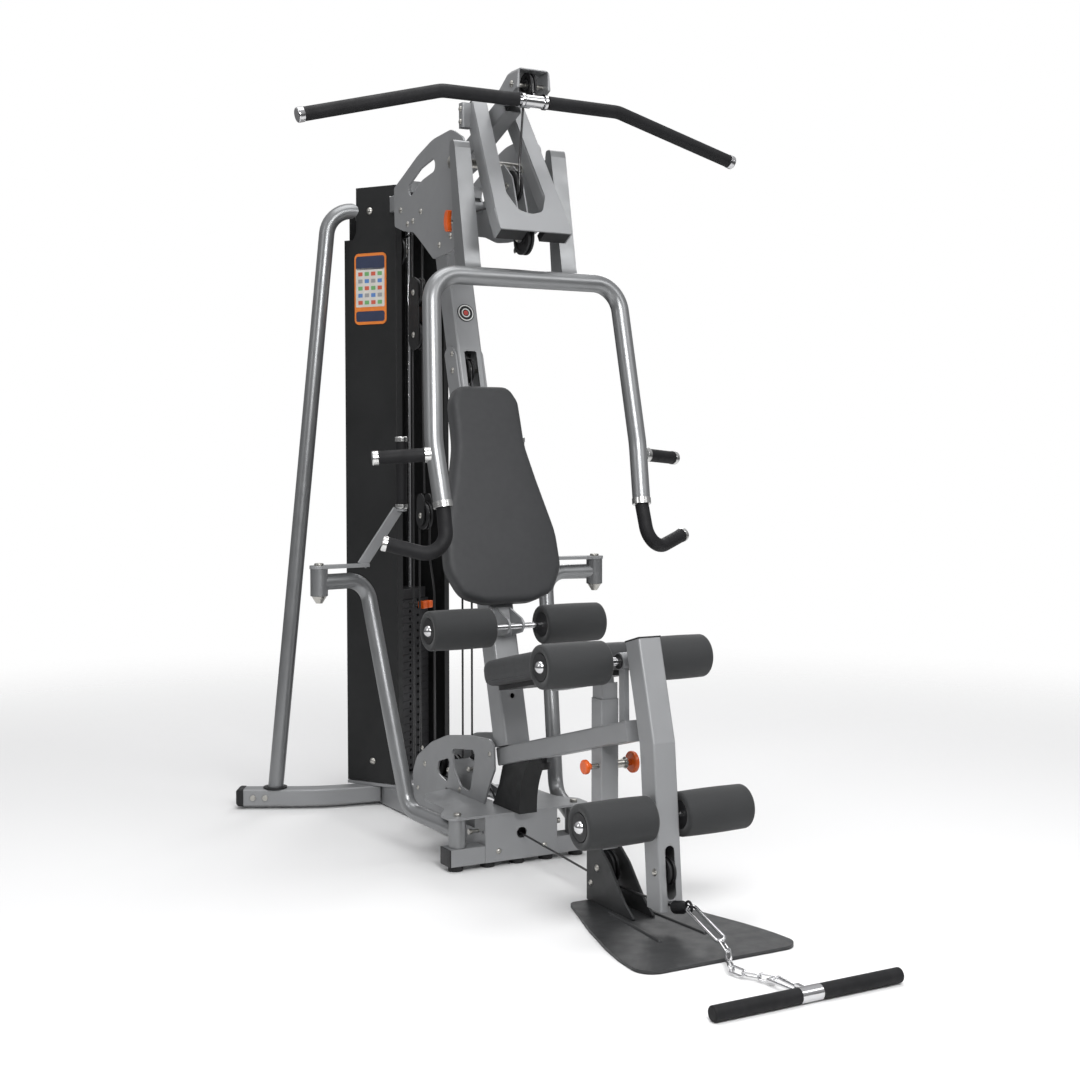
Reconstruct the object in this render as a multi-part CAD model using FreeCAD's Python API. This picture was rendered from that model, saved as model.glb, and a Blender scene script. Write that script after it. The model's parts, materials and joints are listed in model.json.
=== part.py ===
# Multi station home gym: a leaning mast with press arm, lat bar, seat, leg developer,
# low row bar, two swinging cable arms and a weight stack in a shrouded tower.
# Millimetres. +Z up, the seated user looks along -Y, X = 0 is the middle of the seat.
# The origin is on the floor below the pivots of the cable arms.
import FreeCAD, Part
import math
import os

os.makedirs("parts", exist_ok=True)

V = FreeCAD.Vector
X_AXIS = V(1, 0, 0)
Y_AXIS = V(0, 1, 0)
Z_AXIS = V(0, 0, 1)

# ---------------------------------------------------------------- driving dimensions
WALL = 3.0                  # wall of the box and round tubes
PLATE = 6.0                 # thickness of the flat steel plates
EDGE = 5.0                  # outer corner radius of box tube
CABLE_R = 3.0               # coated wire cable
SHEAVE_R = 42.0             # outer radius of a cable pulley
ROPE_LINE_R = 36.0          # radius on which the cable runs round a pulley
SHEAVE_W = 18.0
ROLLER_R = 54.0             # foam rollers
TUBE_R = 24.0               # round frame tube

# base
BASE_HALF = 110.0           # half width of the centre box
BASE_LOW = 16.0             # the box stands on levelling feet
LIP_HALF = 211.0            # half width of the lips below the arm pivots
LIP_Z = 62.0
BASE_TOP = 140.0
ARM_PIVOT_X = 179.0
ARM_PIN_Z = 96.0
SPINE_TOP = 62.0

# mast, leaning back
MAST_HALF = 38.0
MAST_DEPTH = 79.0
MAST_LEAN = 0.2665          # dy / dz
MAST_FOOT_Y = -97.5         # front face at floor height
MAST_TOP = 1850.0

# seat beam, rising to the front
BEAM_REAR = (55.0, 282.0)
BEAM_FRONT = (-603.0, 453.5)
BEAM_DEPTH = 50.0
BEAM_HALF = 31.0
COLUMN_Y = -460.0
COLUMN_HALF = 25.0
SIDE_PINS = (COLUMN_Y - 8, 348.0)   # the two pull pins on the column's sides

# press arm
PRESS_PIVOT = (105.0, 1890.0)
PRESS_PIN = (98.0, 1730.0)
FAN_X = 112.0
UPRIGHT_X = 122.0
UPRIGHT_W = 46.0
CROSSBAR = (-60.0, 1569.0)

# leg developer
KNEE = (-543.0, 612.0)
LEG_HALF = 31.0
LEG_PATH = ((-630.0, 672.0), (-694.0, 437.0), (-730.0, 45.0))
ANKLE_AXLE = (-720.0, 271.0)
LEG_PULLEY = (-731.0, 146.0)

# hold down rollers in front of the mast
HOLD_AXLE = (6.0, 644.0)

# head
LAT_BAR_Y = -93.0
HOOD_ROPE_R = 26.0
HOOD_PULLEY = (LAT_BAR_Y + HOOD_ROPE_R, 2070.0)
HEAD_PULLEY = (17.0, 1822.0)
FRONT_PULLEY = (-44.0, 1676.0)

# weight tower, turned in plan
TOWER_CORNER = V(-20, 760, 0)
TOWER_TURN = 32.9
TOWER_W = 300.0
TOWER_D = 176.0
TOWER_TOP = 1935.0
STACK_BASE = 92.0
PLATE_PITCH = 25.0
PLATE_COUNT = 21
BADGE_Z = 1509.0
BADGE_R = 26.0
ROD_S = (80.0, 220.0)
ROD_T = 92.0
ROD_R = 9.5
STACK_S = 150.0

# cables run in the middle plane
LAT_RUN_Z = HEAD_PULLEY[1] - ROPE_LINE_R
MAST_PULLEY = (300.0, 1345.0)
MAST_ROPE_R = 30.0
FLOOR_ROPE_Z = 57.0
CORE_R = 2.2                # thin end of the stack cable that slides in the hollow upper run


# ---------------------------------------------------------------- small helpers
NODES = {}                  # node name -> its solids


def add(name, solids):
    """Adds separate solids to a node."""
    NODES.setdefault(name, []).extend(solids)


def write_nodes():
    for name, solids in NODES.items():
        for solid in solids:
            if not solid.isValid() or solid.Volume < 1:
                print("bad solid in", name, round(solid.Volume))
        shape = solids[0] if len(solids) == 1 else Part.makeCompound(solids)
        shape.exportStep("parts/" + name + ".step")


def block(x0, x1, y0, y1, z0, z1):
    return Part.makeBox(x1 - x0, y1 - y0, z1 - z0, V(x0, y0, z0))


def rod(start, end, radius):
    line = end - start
    return Part.makeCylinder(radius, line.Length, start, line)


def x_rod(y, z, x0, x1, radius):
    return Part.makeCylinder(radius, x1 - x0, V(x0, y, z), X_AXIS)


def mirror_x(shape):
    return shape.mirror(V(0, 0, 0), X_AXIS)


def both(shape):
    return [shape, mirror_x(shape)]


def fused(solids):
    result = solids[0]
    for other in solids[1:]:
        result = result.fuse(other)
    return result.removeSplitter()


def cut(shape, tools):
    for tool in tools:
        shape = shape.cut(tool)
    return shape


def trimmed(shape, *names):
    """Cuts a shape back from pieces that are already in place."""
    for name in names:
        shape = cut(shape, NODES[name])
    return shape


def corner(before, here, after, radius):
    """Tangent points and middle point of the arc that rounds one corner of a path."""
    to_before = (before - here).normalize()
    to_after = (after - here).normalize()
    half = to_before.getAngle(to_after) / 2
    reach = radius / math.tan(half)
    start = here + to_before * reach
    end = here + to_after * reach
    bisector = (to_before + to_after).normalize()
    middle = here + bisector * (radius / math.sin(half) - radius)
    return start, middle, end


def rounded_edges(points, radii, closed):
    """Straight runs joined by tangent arcs; radii has one entry per point."""
    count = len(points)
    pieces = []
    arcs = {}
    for i in range(count):
        inner = closed or 0 < i < count - 1
        if inner and radii[i] > 0:
            arcs[i] = corner(points[i - 1], points[i], points[(i + 1) % count], radii[i])
    last = count if closed else count - 1
    for i in range(last):
        j = (i + 1) % count
        start = arcs[i][2] if i in arcs else points[i]
        end = arcs[j][0] if j in arcs else points[j]
        if (end - start).Length > 1e-4:
            pieces.append(Part.LineSegment(start, end).toShape())
        if j in arcs:
            pieces.append(Part.Arc(*arcs[j]).toShape())
    if closed and 0 in arcs:
        pieces = pieces[-1:] + pieces[:-1]
    return pieces


def plate_yz(outline, radii, x0, x1):
    """Flat plate standing in the YZ plane between x0 and x1."""
    points = [V(x0, y, z) for y, z in outline]
    wire = Part.Wire(rounded_edges(points, radii, True))
    return Part.Face(wire).extrude(V(x1 - x0, 0, 0))


def plate_xy(outline, radii, z0, z1):
    points = [V(x, y, z0) for x, y in outline]
    wire = Part.Wire(rounded_edges(points, radii, True))
    return Part.Face(wire).extrude(V(0, 0, z1 - z0))


def pipe(points, radii, radius):
    """Round bar swept along straight runs and tangent arcs."""
    edges = rounded_edges(points, radii, False)
    path = Part.Wire(edges)
    direction = points[1] - points[0]
    profile = Part.Wire([Part.Circle(points[0], direction, radius).toShape()])
    return path.makePipeShell([profile], True, True)


def tube(points, radii, radius, wall=WALL):
    return pipe(points, radii, radius).cut(pipe(points, radii, radius - wall))


def strip(path, depth):
    """Mitred outline of a bent strip that follows a path in the YZ plane."""
    points = [V(0, y, z) for y, z in path]
    left, right = [], []
    for i, point in enumerate(points):
        into = (point - points[i - 1]).normalize() if i else None
        out = (points[i + 1] - point).normalize() if i < len(points) - 1 else None
        into = into or out
        out = out or into
        along = (into + out).normalize()
        side = V(0, -along.z, along.y)
        reach = depth / 2 / along.dot(into)
        left.append(point + side * reach)
        right.append(point - side * reach)
    return [(p.y, p.z) for p in left + right[::-1]]


def round_long_edges(shape, half, radius):
    """Rounds the edges that run along the four outer corners of a box tube."""
    edges = []
    for edge in shape.Edges:
        ends = [v.Point for v in edge.Vertexes]
        if len(ends) == 2 and all(abs(abs(p.x) - half) < 1e-3 for p in ends):
            if (ends[1] - ends[0]).Length > 90 and ends[0].x * ends[1].x > 0:
                edges.append(edge)
    return shape.makeFillet(radius, edges)


def box_tube(path, depth, half, wall=WALL):
    """Bent box tube in the YZ plane, open at both ends."""
    outline = strip(path, depth)
    none = [0] * len(outline)
    outer = plate_yz(outline, none, -half, half)
    outer = round_long_edges(outer, half, EDGE)
    first, second = V(0, *path[0]), V(0, *path[1])
    last, before = V(0, *path[-1]), V(0, *path[-2])
    lead = (first - second).normalize() * 5
    tail = (last - before).normalize() * 5
    inner_path = [(first.y + lead.y, first.z + lead.z)] + list(path[1:-1])
    inner_path += [(last.y + tail.y, last.z + tail.z)]
    inner_outline = strip(inner_path, depth - 2 * wall)
    inner = plate_yz(inner_outline, [0] * len(inner_outline), wall - half, half - wall)
    return outer.cut(inner)


def dome_x(y, z, x, side, radius=7.5, height=4.5):
    """Button head on a face at x; it touches the face and reaches outward."""
    sphere_r = (radius ** 2 + height ** 2) / (2 * height)
    ball = Part.makeSphere(sphere_r, V(x + height - sphere_r, y, z))
    head = ball.common(block(x, x + height + 1, y - radius, y + radius, z - radius, z + radius))
    return head if side > 0 else mirror_x(head)


def sheave(y, z, x=0.0, bore=6.1, radius=SHEAVE_R, rope=ROPE_LINE_R, width=SHEAVE_W):
    """Pulley on an X axle with a round groove and a shallow web."""
    wheel = x_rod(y, z, x - width / 2, x + width / 2, radius)
    groove = Part.makeTorus(rope, CABLE_R + 0.4, V(x, y, z), X_AXIS)
    lip = CABLE_R + 0.4
    ring = x_rod(y, z, x - lip, x + lip, radius + 1).cut(x_rod(y, z, x - lip, x + lip, rope))
    web = x_rod(y, z, x + width / 2 - 4, x + width / 2, radius - 10)
    web = web.cut(x_rod(y, z, x + width / 2 - 4, x + width / 2, 14))
    other = web.translated(V(4 - width, 0, 0))
    hole = x_rod(y, z, x - width, x + width, bore)
    return cut(wheel, [groove, ring, web, other, hole])


def axle_x(y, z, half, radius=6.0, x=0.0):
    """Pulley axle with a button head at each end."""
    shaft = x_rod(y, z, x - half, x + half, radius)
    heads = [dome_x(y, z, half, 1, 9, 5), dome_x(y, z, half, -1, 9, 5)]
    if x:
        heads = [head.translated(V(x, 0, 0)) for head in heads]
    return fused([shaft] + heads)


def tower(shape):
    """Places a shape drawn in the tower's own axes: S across, T to the rear."""
    placed = shape.copy()
    placed.rotate(V(0, 0, 0), Z_AXIS, TOWER_TURN)
    placed.translate(TOWER_CORNER)
    return placed


def mast_front(z):
    return MAST_FOOT_Y + MAST_LEAN * z


def beam_z(y):
    slope = (BEAM_FRONT[1] - BEAM_REAR[1]) / (BEAM_FRONT[0] - BEAM_REAR[0])
    return BEAM_REAR[1] + slope * (y - BEAM_REAR[0])


BEAM_SLOPE = (BEAM_FRONT[1] - BEAM_REAR[1]) / (BEAM_FRONT[0] - BEAM_REAR[0])
BEAM_RISE = BEAM_DEPTH / 2 * math.hypot(1, BEAM_SLOPE)   # half the beam's height along Z


# ---------------------------------------------------------------- base
def base_front_box():
    centre = block(-BASE_HALF, BASE_HALF, -30, 35, BASE_LOW, BASE_TOP)
    lips = block(-LIP_HALF, LIP_HALF, -28, 30, BASE_LOW, LIP_Z)
    outer = fused([centre, lips])
    inside = block(-BASE_HALF + 4, BASE_HALF - 4, -26, 31, BASE_LOW + 4, BASE_TOP - 4)
    channel = block(-LIP_HALF - 1, LIP_HALF + 1, -24, 26, BASE_LOW + 4, LIP_Z - 4)
    front_hole = rod(V(0, -40, 87), V(0, 0, 87), 15)
    rear_slot = block(-14, 14, 25, 40, 62, 128)
    pivots = [Part.makeCylinder(6, 30, V(x, 0, LIP_Z - 14)) for x in (-ARM_PIVOT_X, ARM_PIVOT_X)]
    pin_holes = []
    for side in (-1, 1):
        for y in (-14, 12):
            pin_holes.append(x_rod(y, ARM_PIN_Z, side * BASE_HALF - 6, side * BASE_HALF + 6, 4.6))
    solid = cut(outer, [inside, channel, front_hole, rear_slot] + pivots + pin_holes)
    add("base_frame", [solid])


def base_top_plate():
    half = [(214, -32), (214, 34), (172, 92), (168, 232), (138, 292), (52, 322)]
    outline = half + [(-x, y) for x, y in half[::-1]]
    radii = [22, 30, 40, 60, 50, 30]
    radii = radii + radii[::-1]
    plate = plate_xy(outline, radii, BASE_TOP, BASE_TOP + PLATE)
    slot = plate_xy([(-12, 50), (12, 50), (12, 190), (-12, 190)], [8] * 4,
                    BASE_TOP - 1, BASE_TOP + PLATE + 1)
    pivots = [Part.makeCylinder(6, 30, V(x, 0, 130)) for x in (-ARM_PIVOT_X, ARM_PIVOT_X)]
    add("base_plates", [cut(plate, [slot] + pivots)])


def base_spine():
    outer = block(-43, 43, 35.1, 905, 4, SPINE_TOP)
    inner = block(-40, 40, 30, 910, 7, SPINE_TOP - 3)
    add("base_frame", [outer.cut(inner)])


SIDE_PLATE_X = 44.0
SIDE_OUTLINE = ((98, 146.5), (60, 215), (36, 250), (40, 318), (66, 330), (190, 322),
                (330, 300), (440, 262), (540, 205), (572, 150), (560, 62.5), (345, 62.5),
                (345, 146.5))
SIDE_RADII = (4, 60, 10, 8, 30, 60, 120, 120, 60, 30, 15, 8, 8)
SIDE_WINDOW = ((150, 286), (300, 266), (286, 205), (246, 168), (186, 160), (166, 215))
BASE_PULLEYS = ((234.0, 215.0), (366.0, 190.0), (484.0, 190.0))


def base_side_plates():
    plate = plate_yz(SIDE_OUTLINE, SIDE_RADII, SIDE_PLATE_X, SIDE_PLATE_X + PLATE)
    window = plate_yz(SIDE_WINDOW, [14, 14, 24, 30, 20, 30], 40, 60)
    small = plate_yz([(312, 238), (392, 214), (400, 178), (330, 160)], [12, 20, 16, 16], 40, 60)
    axle_holes = [x_rod(y, z, 40, 60, 6) for y, z in BASE_PULLEYS[2:]]
    solid = cut(plate, [window, small] + axle_holes)
    add("base_plates", both(solid))


def base_pulley_axles():
    axles = []
    for y, z in BASE_PULLEYS:
        half = SIDE_PLATE_X + PLATE if (y, z) == BASE_PULLEYS[2] else 30
        axles.append(axle_x(y, z, half))
    add("frame_hardware", axles)


def base_pulley_cheeks():
    """Inner cheek plates that stand on the spine and carry the two front base pulleys."""
    (y_a, z_a), (y_b, z_b), _ = BASE_PULLEYS
    outline = [(y_a - 26, 146.5), (y_a - 26, z_a + 24), (y_a + 26, z_a + 28), (y_b + 24, z_b + 24),
               (y_b + 24, 62.5), (345, 62.5), (345, 146.5)]
    cheek = plate_yz(outline, [4, 18, 22, 22, 4, 4, 4], 14, 18)
    holes = [x_rod(y, z, 10, 20, 6) for y, z in BASE_PULLEYS[:2]]
    add("base_plates", both(cut(cheek, holes)))


def mast_pedestal():
    """Dark curved block that carries the rear end of the seat beam on the top plate."""
    y_front, y_rear = -128, 30
    gap = 1.0
    top_front = beam_z(y_front) - BEAM_RISE - gap
    top_rear = beam_z(y_rear) - BEAM_RISE - gap
    outline = [V(-27, 88, 146.5), V(-27, 52, 205), V(-27, y_rear, top_rear),
               V(-27, y_front, top_front), V(-27, -66, 146.5)]
    edges = [
        Part.LineSegment(outline[0], outline[1]).toShape(),
        Part.LineSegment(outline[1], outline[2]).toShape(),
        Part.LineSegment(outline[2], outline[3]).toShape(),
        Part.Arc(outline[3], V(-27, -76, 222), outline[4]).toShape(),
        Part.LineSegment(outline[4], outline[0]).toShape(),
    ]
    solid = Part.Face(Part.Wire(edges)).extrude(V(54, 0, 0))
    slot = block(-13, 13, 40, 120, 140, 300)
    add("mast_pedestal", [solid.cut(slot)])


def rubber_stop():
    """Rubber bump stop on a short stem below the seat beam."""
    y = -152
    z = beam_z(y) - BEAM_RISE
    normal = V(0, BEAM_SLOPE, -1).normalize()
    base = V(0, y, z) + normal * 0.5
    stem = Part.makeCylinder(9, 12, base, normal)
    bump = Part.makeCone(17, 13, 18, base + normal * 12, normal)
    add("frame_caps", [fused([stem, bump])])


def rear_foot_beam():
    path = [V(-436, 995, 36), V(-232, 884, 36), V(-43.5, 852, 36)]
    direction = (path[1] - path[0]).normalize()
    across = V(-direction.y, direction.x, 0)

    def section(half_w, half_h):
        corners = [(-half_w, -half_h), (half_w, -half_h), (half_w, half_h), (-half_w, half_h)]
        points = [path[0] + across * a + Z_AXIS * b for a, b in corners]
        return Part.Wire(rounded_edges(points, [6] * 4 if half_w > 29 else [3] * 4, True))

    spine = Part.Wire(rounded_edges(path, [0, 480, 0], False))
    outer = spine.makePipeShell([section(30, 26)], True, True)
    inner = spine.makePipeShell([section(27, 23)], True, True)
    holder = block(-43.05, 0, 800, 900, 0, 70)
    add("rear_foot_beam", [outer.cut(inner).cut(holder)])
    cap_wire = section(32, 27.5)
    cap = Part.Face(cap_wire).extrude(direction * -24)
    far = path[0] - direction * 24
    cap = cap.makeFillet(12, [e for e in cap.Edges if abs((e.CenterOfMass - far).dot(direction)) < 0.01])
    add("frame_caps", [cap])
    for distance in (30, 68):
        seat_point = path[0] + direction * distance - across * 30.1
        add("frame_hardware", [rounded_cap(seat_point, across * -1, 9, 5)])


BRACE_FOOT = V(-352, 949, 50)


def rear_brace_tube():
    points = [BRACE_FOOT, V(-176, 905, 1866), V(-38, 880, 1866)]
    solid = tube(points, [0, 80, 0], TUBE_R)
    inside_tower = tower(block(-4.1, 400, -200, 400, 1700, 2100))
    below = block(-500, 0, 800, 1100, 0, 62.1)
    add("rear_brace_tube", [cut(solid, [inside_tower, below])])
    flange = Part.makeCylinder(37, 5, V(BRACE_FOOT.x, BRACE_FOOT.y, 62.1))
    core = pipe(points, [0, 80, 0], TUBE_R + 0.05)
    add("frame_brackets", [flange.cut(core)])


# ---------------------------------------------------------------- mast and seat beam
def mast():
    z_front = beam_z(mast_front(326)) + BEAM_RISE + 0.6
    z_rear = beam_z(mast_front(306) + MAST_DEPTH) + BEAM_RISE + 0.6
    outline = [(mast_front(z_front), z_front), (mast_front(z_rear) + MAST_DEPTH, z_rear),
               (mast_front(MAST_TOP) + MAST_DEPTH, MAST_TOP), (mast_front(MAST_TOP), MAST_TOP)]
    outer = plate_yz(outline, [0] * 4, -MAST_HALF, MAST_HALF)
    outer = round_long_edges(outer, MAST_HALF, 7)
    inset = 4.0
    inner_outline = [(mast_front(250) + inset, 250), (mast_front(250) + MAST_DEPTH - inset, 250),
                     (mast_front(1900) + MAST_DEPTH - inset, 1900),
                     (mast_front(1900) + inset, 1900)]
    inner = plate_yz(inner_outline, [0] * 4, inset - MAST_HALF, MAST_HALF - inset)
    front_slot = block(-19, 19, mast_front(1345) - 40, mast_front(1345) + 20, 1292, 1398)
    rear_slot = block(-15, 15, 250, 380, 1000, 1400)
    lat_slot = block(-9, 9, 340, 500, LAT_RUN_Z - 22, LAT_RUN_Z + 22)
    holes = [x_rod(MAST_PULLEY[0], MAST_PULLEY[1], -60, 60, 6)]
    for z in (452, 1010, 1190):
        holes.append(rod(V(0, mast_front(z) - 10, z), V(0, mast_front(z) + 20, z), 7))
    add("mast", [cut(outer, [inner, front_slot, rear_slot, lat_slot] + holes)])


def mast_side_gussets():
    """Reinforcing plates on both sides of the pulley slot in the mast."""
    z0, z1 = 1130, 1412
    y0, y1 = mast_front(z0), mast_front(z1)
    outline = [(y0 + 4, z0), (y0 + MAST_DEPTH - 4, z0), (y1 + MAST_DEPTH - 4, z1 - 16),
               (y1 + MAST_DEPTH - 24, z1), (y1 + 24, z1), (y1 + 4, z1 - 20)]
    plate = plate_yz(outline, [14, 14, 14, 14, 14, 14], MAST_HALF + 0.1, MAST_HALF + 6)
    hole = x_rod(MAST_PULLEY[0], MAST_PULLEY[1], 30, 60, 6)
    add("frame_brackets", both(plate.cut(hole)))


def seat_beam():
    solid = box_tube([BEAM_REAR, BEAM_FRONT], BEAM_DEPTH, BEAM_HALF)
    passage = block(-COLUMN_HALF - 0.2, COLUMN_HALF + 0.2, COLUMN_Y - COLUMN_HALF - 0.2,
                    COLUMN_Y + COLUMN_HALF + 0.2, 200, 600)
    add("seat_frame", [solid.cut(passage)])


def front_column():
    outer = block(-COLUMN_HALF, COLUMN_HALF, COLUMN_Y - COLUMN_HALF, COLUMN_Y + COLUMN_HALF,
                  142, 512)
    posts = [e for e in outer.Edges if abs(e.Vertexes[0].Z - e.Vertexes[1].Z) > 100]
    outer = outer.makeFillet(4, posts)
    half = COLUMN_HALF - 2.5
    inner = block(-half, half, COLUMN_Y - half, COLUMN_Y + half, 120, 520)
    pin_holes = x_rod(*SIDE_PINS, -40, 40, 6.1)
    add("seat_frame", [cut(outer, [inner, pin_holes])])


def column_foot():
    """Two ribbed cheeks that carry the column and the low pulley on the foot plate."""
    outline = [(-426, 8.5), (-426, 205), (-486, 205), (-486, 150), (-530, 118), (-600, 40),
               (-646, 8.5)]
    cheek = plate_yz(outline, [3, 8, 8, 20, 60, 60, 3], COLUMN_HALF + 0.1, COLUMN_HALF + 6.1)
    hole = x_rod(-475, 97, 20, 40, 6)
    add("column_foot", both(cheek.cut(hole)))


def foot_plate():
    half = [(84, -432), (112, -520), (152, -640), (190, -780), (206, -860), (214, -968)]
    outline = half + [(-x, y) for x, y in half[::-1]]
    radii = [22, 400, 400, 500, 400, 46]
    radii = radii + radii[::-1]
    plate = plate_xy(outline, radii, 2, 8)
    ribs = []
    for side in (-1, 1):
        start = V(side * 46, -560, 7.6)
        end = V(side * 62, -800, 7.6)
        rib = rod(start, end, 5).fuse(Part.makeSphere(5, start)).fuse(Part.makeSphere(5, end))
        ribs.append(rib)
    above = block(-300, 300, -1000, -400, 4, 40)
    ribs = [rib.common(above) for rib in ribs]
    add("foot_plate", [fused([plate] + ribs)])
    outer = plate_xy(outline, radii, 0, 2)
    inner = plate_xy([(x * 0.9, -660 + (y + 660) * 0.9) for x, y in outline], radii, -1, 3)
    add("frame_caps", [outer.cut(inner)])


def knee_support():
    """Slim post on the beam's front end whose rubber lined bush carries the knee axle."""
    y, z = KNEE
    outline = [(y - 18, beam_z(y - 18) + BEAM_RISE + 0.4), (y + 6, beam_z(y + 6) + BEAM_RISE + 0.4),
               (y + 8, z), (y - 14, z)]
    post = plate_yz(outline, [0] * 4, -7, 7)
    bush = x_rod(y, z, -12, 12, 21)
    bore = x_rod(y, z, -30, 30, 14.1)
    add("frame_brackets", [fused([post, bush]).cut(bore)])
    liner = x_rod(y, z, -15, 15, 14).cut(x_rod(y, z, -30, 30, 10.3))
    for side in (-1, 1):
        near, far = sorted((side * 12.1, side * 15))
        flange = x_rod(y, z, near, far, 18).cut(x_rod(y, z, -30, 30, 10.3))
        liner = liner.fuse(flange)
    add("frame_caps", [liner])


# ---------------------------------------------------------------- head
FAN_TOP = ((64, 1872), (76, 1950), (150, 1986), (270, 1979), (372, 1950), (470, 1910),
           (536, 1884), (532, 1772), (470, 1752), (400, 1740))
FAN_TOP_RADII = (60, 30, 60, 200, 300, 200, 8, 10, 40, 60)
FAN_FOOT = {-1: ((330, 1694), (268, 1650), (150, 1658), (72, 1700)),
            1: ((330, 1716), (268, 1710), (150, 1708), (84, 1720))}
FAN_FOOT_RADII = (120, 16, 20, 30)


def fan_plates():
    for side in (-1, 1):
        near, far = sorted((side * FAN_X, side * (FAN_X + PLATE)))
        plate = plate_yz(FAN_TOP + FAN_FOOT[side], FAN_TOP_RADII + FAN_FOOT_RADII, near, far)
        slot = plate_yz([(440, 1874), (350, 1912), (258, 1928), (252, 1892), (340, 1878), (424, 1840)],
                        [17, 90, 17, 17, 90, 17], near - 5, far + 5)
        bore = x_rod(PRESS_PIVOT[0], PRESS_PIVOT[1], -130, 130, 12)
        pin_hole = x_rod(*PRESS_PIN, -130, 0, 6.2)
        add("fan_plates", [cut(plate, [slot, bore, pin_hole])])


def mast_head_spacers():
    """Tubes that tie the fan plates to the mast top."""
    solids = []
    for y, z, radius in ((349, 1792, 16), (300, 1700, 14), (425, 1830, 16)):
        front = mast_front(z)
        if front + 8 < y < front + MAST_DEPTH - 8:
            solids += both(x_rod(y, z, MAST_HALF + 0.1, FAN_X - 0.1, radius))
    add("frame_brackets", solids)


LEG_TOP = (128.0, 2046.0)
LEG_FOOT = (-66.0, 1716.0)


def head_legs():
    """Two box legs of the head, splayed at the foot, joined by a cross tube at the top."""
    width, depth = 42.0, 46.0
    foot = V(84, LEG_FOOT[0], LEG_FOOT[1])
    top = V(56, LEG_TOP[0], LEG_TOP[1])
    along = top - foot
    side = V(1, 0, 0)
    normal = along.cross(side).normalize()

    def section(w, d, start):
        corners = [(-w, -d), (w, -d), (w, d), (-w, d)]
        points = [start + side * (a / 2) + normal * (b / 2) for a, b in corners]
        return Part.Face(Part.Wire(rounded_edges(points, [4] * 4, True)))

    outer = section(width, depth, foot).extrude(along)
    inner = section(width - 6, depth - 6, foot - along * 0.05).extrude(along * 1.1)
    bore = x_rod(PRESS_PIVOT[0], PRESS_PIVOT[1], -200, 200, 12)
    leg = cut(outer, [inner, bore])
    add("head_frame", both(leg))
    top_cap = section(width + 1, depth + 1, top + along * (0.5 / along.Length)).extrude(
        along * (4.0 / along.Length))
    add("frame_caps", both(top_cap))
    ledge = block(-104, -74, 110, 136, 1986, 2052)
    ledge = ledge.makeFillet(5, [e for e in ledge.Edges if e.Length > 60])
    outside = max(trimmed(ledge, "head_frame", "frame_caps").Solids, key=lambda piece: piece.Volume)
    add("frame_brackets", [outside])
    add("frame_hardware", [dome_x(123, z, 104.1, -1, 8, 5) for z in (2002, 2036)])


def head_front_plate():
    """Folded sheet in front of both legs, dipped in the middle, with two dark boxes below."""
    right = [(107, 0), (104, 74), (101.3, 100), (77.6, 426), (35.6, 426), (58, 118), (36, 66), (0, 54)]
    outline = right + [(-x, z) for x, z in right[-2::-1]]
    radii = [5, 30, 60, 4, 4, 30, 24, 40]
    radii = radii + radii[-2::-1]
    points = [V(x, 0, z) for x, z in outline]
    wire = Part.Wire(rounded_edges(points, radii, True))
    plate = Part.Face(wire).extrude(V(0, 4, 0))
    ends = both(block(103, 107, 3, 42, 0, 66))
    box = block(26, 102.9, 4.1, 42, 0, 20)
    turn = math.degrees(math.atan2(LEG_TOP[0] - LEG_FOOT[0], LEG_TOP[1] - LEG_FOOT[1]))
    placed = []
    for shape in [fused([plate] + ends)] + both(box):
        shape.rotate(V(0, 0, 0), X_AXIS, -turn)
        shape.translate(V(0, -115.2, 1688.3))
        placed.append(trimmed(shape, "head_frame", "frame_caps"))
    add("head_front_plate", [placed[0]])
    add("frame_caps", placed[1:])


def head_boom():
    """Central boom from the bridge up and forward to the hood over the lat pulley."""
    path = [(262, 1950), (26, 2042)]
    solid = box_tube(path, 54, 25)
    add("head_frame", [solid])
    support = plate_yz([(392, 1901.6), (330, 1901.6), (236, 1925), (262, 1975), (330, 1945),
                        (392, 1930)], [4, 20, 10, 10, 40, 6], 25.2, 31.2)
    add("head_frame", both(support))


def hood():
    """Bent cover over the lat pulley, open to the front and below."""
    outline = [(-52, 2030), (-46, 2100), (-38, 2108), (38, 2108), (46, 2100), (52, 2030)]
    outer = [V(x, -98, z) for x, z in outline]
    wire = Part.Wire(rounded_edges(outer, [0, 8, 5, 14, 12, 0], True))
    body = Part.Face(wire).extrude(V(0, 122, 0))
    side = plate_yz([(-98, 2030), (-98, 2108), (-50, 2108), (24, 2053), (24, 2030)],
                    [0, 4, 8, 12, 0], -80, 80)
    body = body.common(side)
    hollow = plate_yz([(-110, 2020), (-110, 2104), (-52, 2104), (16, 2053), (16, 2020)],
                      [0, 0, 6, 8, 0], -42, 42)
    slope = plate_yz([(-110, 2000), (-110, 2062), (-70, 2045), (60, 2030), (60, 2000)],
                     [0] * 5, -80, 80)
    axle = x_rod(HOOD_PULLEY[0], HOOD_PULLEY[1], -80, 80, 6)
    boom = box_tube([(262, 1950), (26, 2042)], 54.6, 25.3, 27.0)
    rear_slot = block(-8, 8, 10, 40, 2020, 2070)
    add("hood", [cut(body, [hollow, slope, axle, boom, rear_slot])])
    add("frame_hardware", [axle_x(HOOD_PULLEY[0], HOOD_PULLEY[1], 49.5)])


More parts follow.
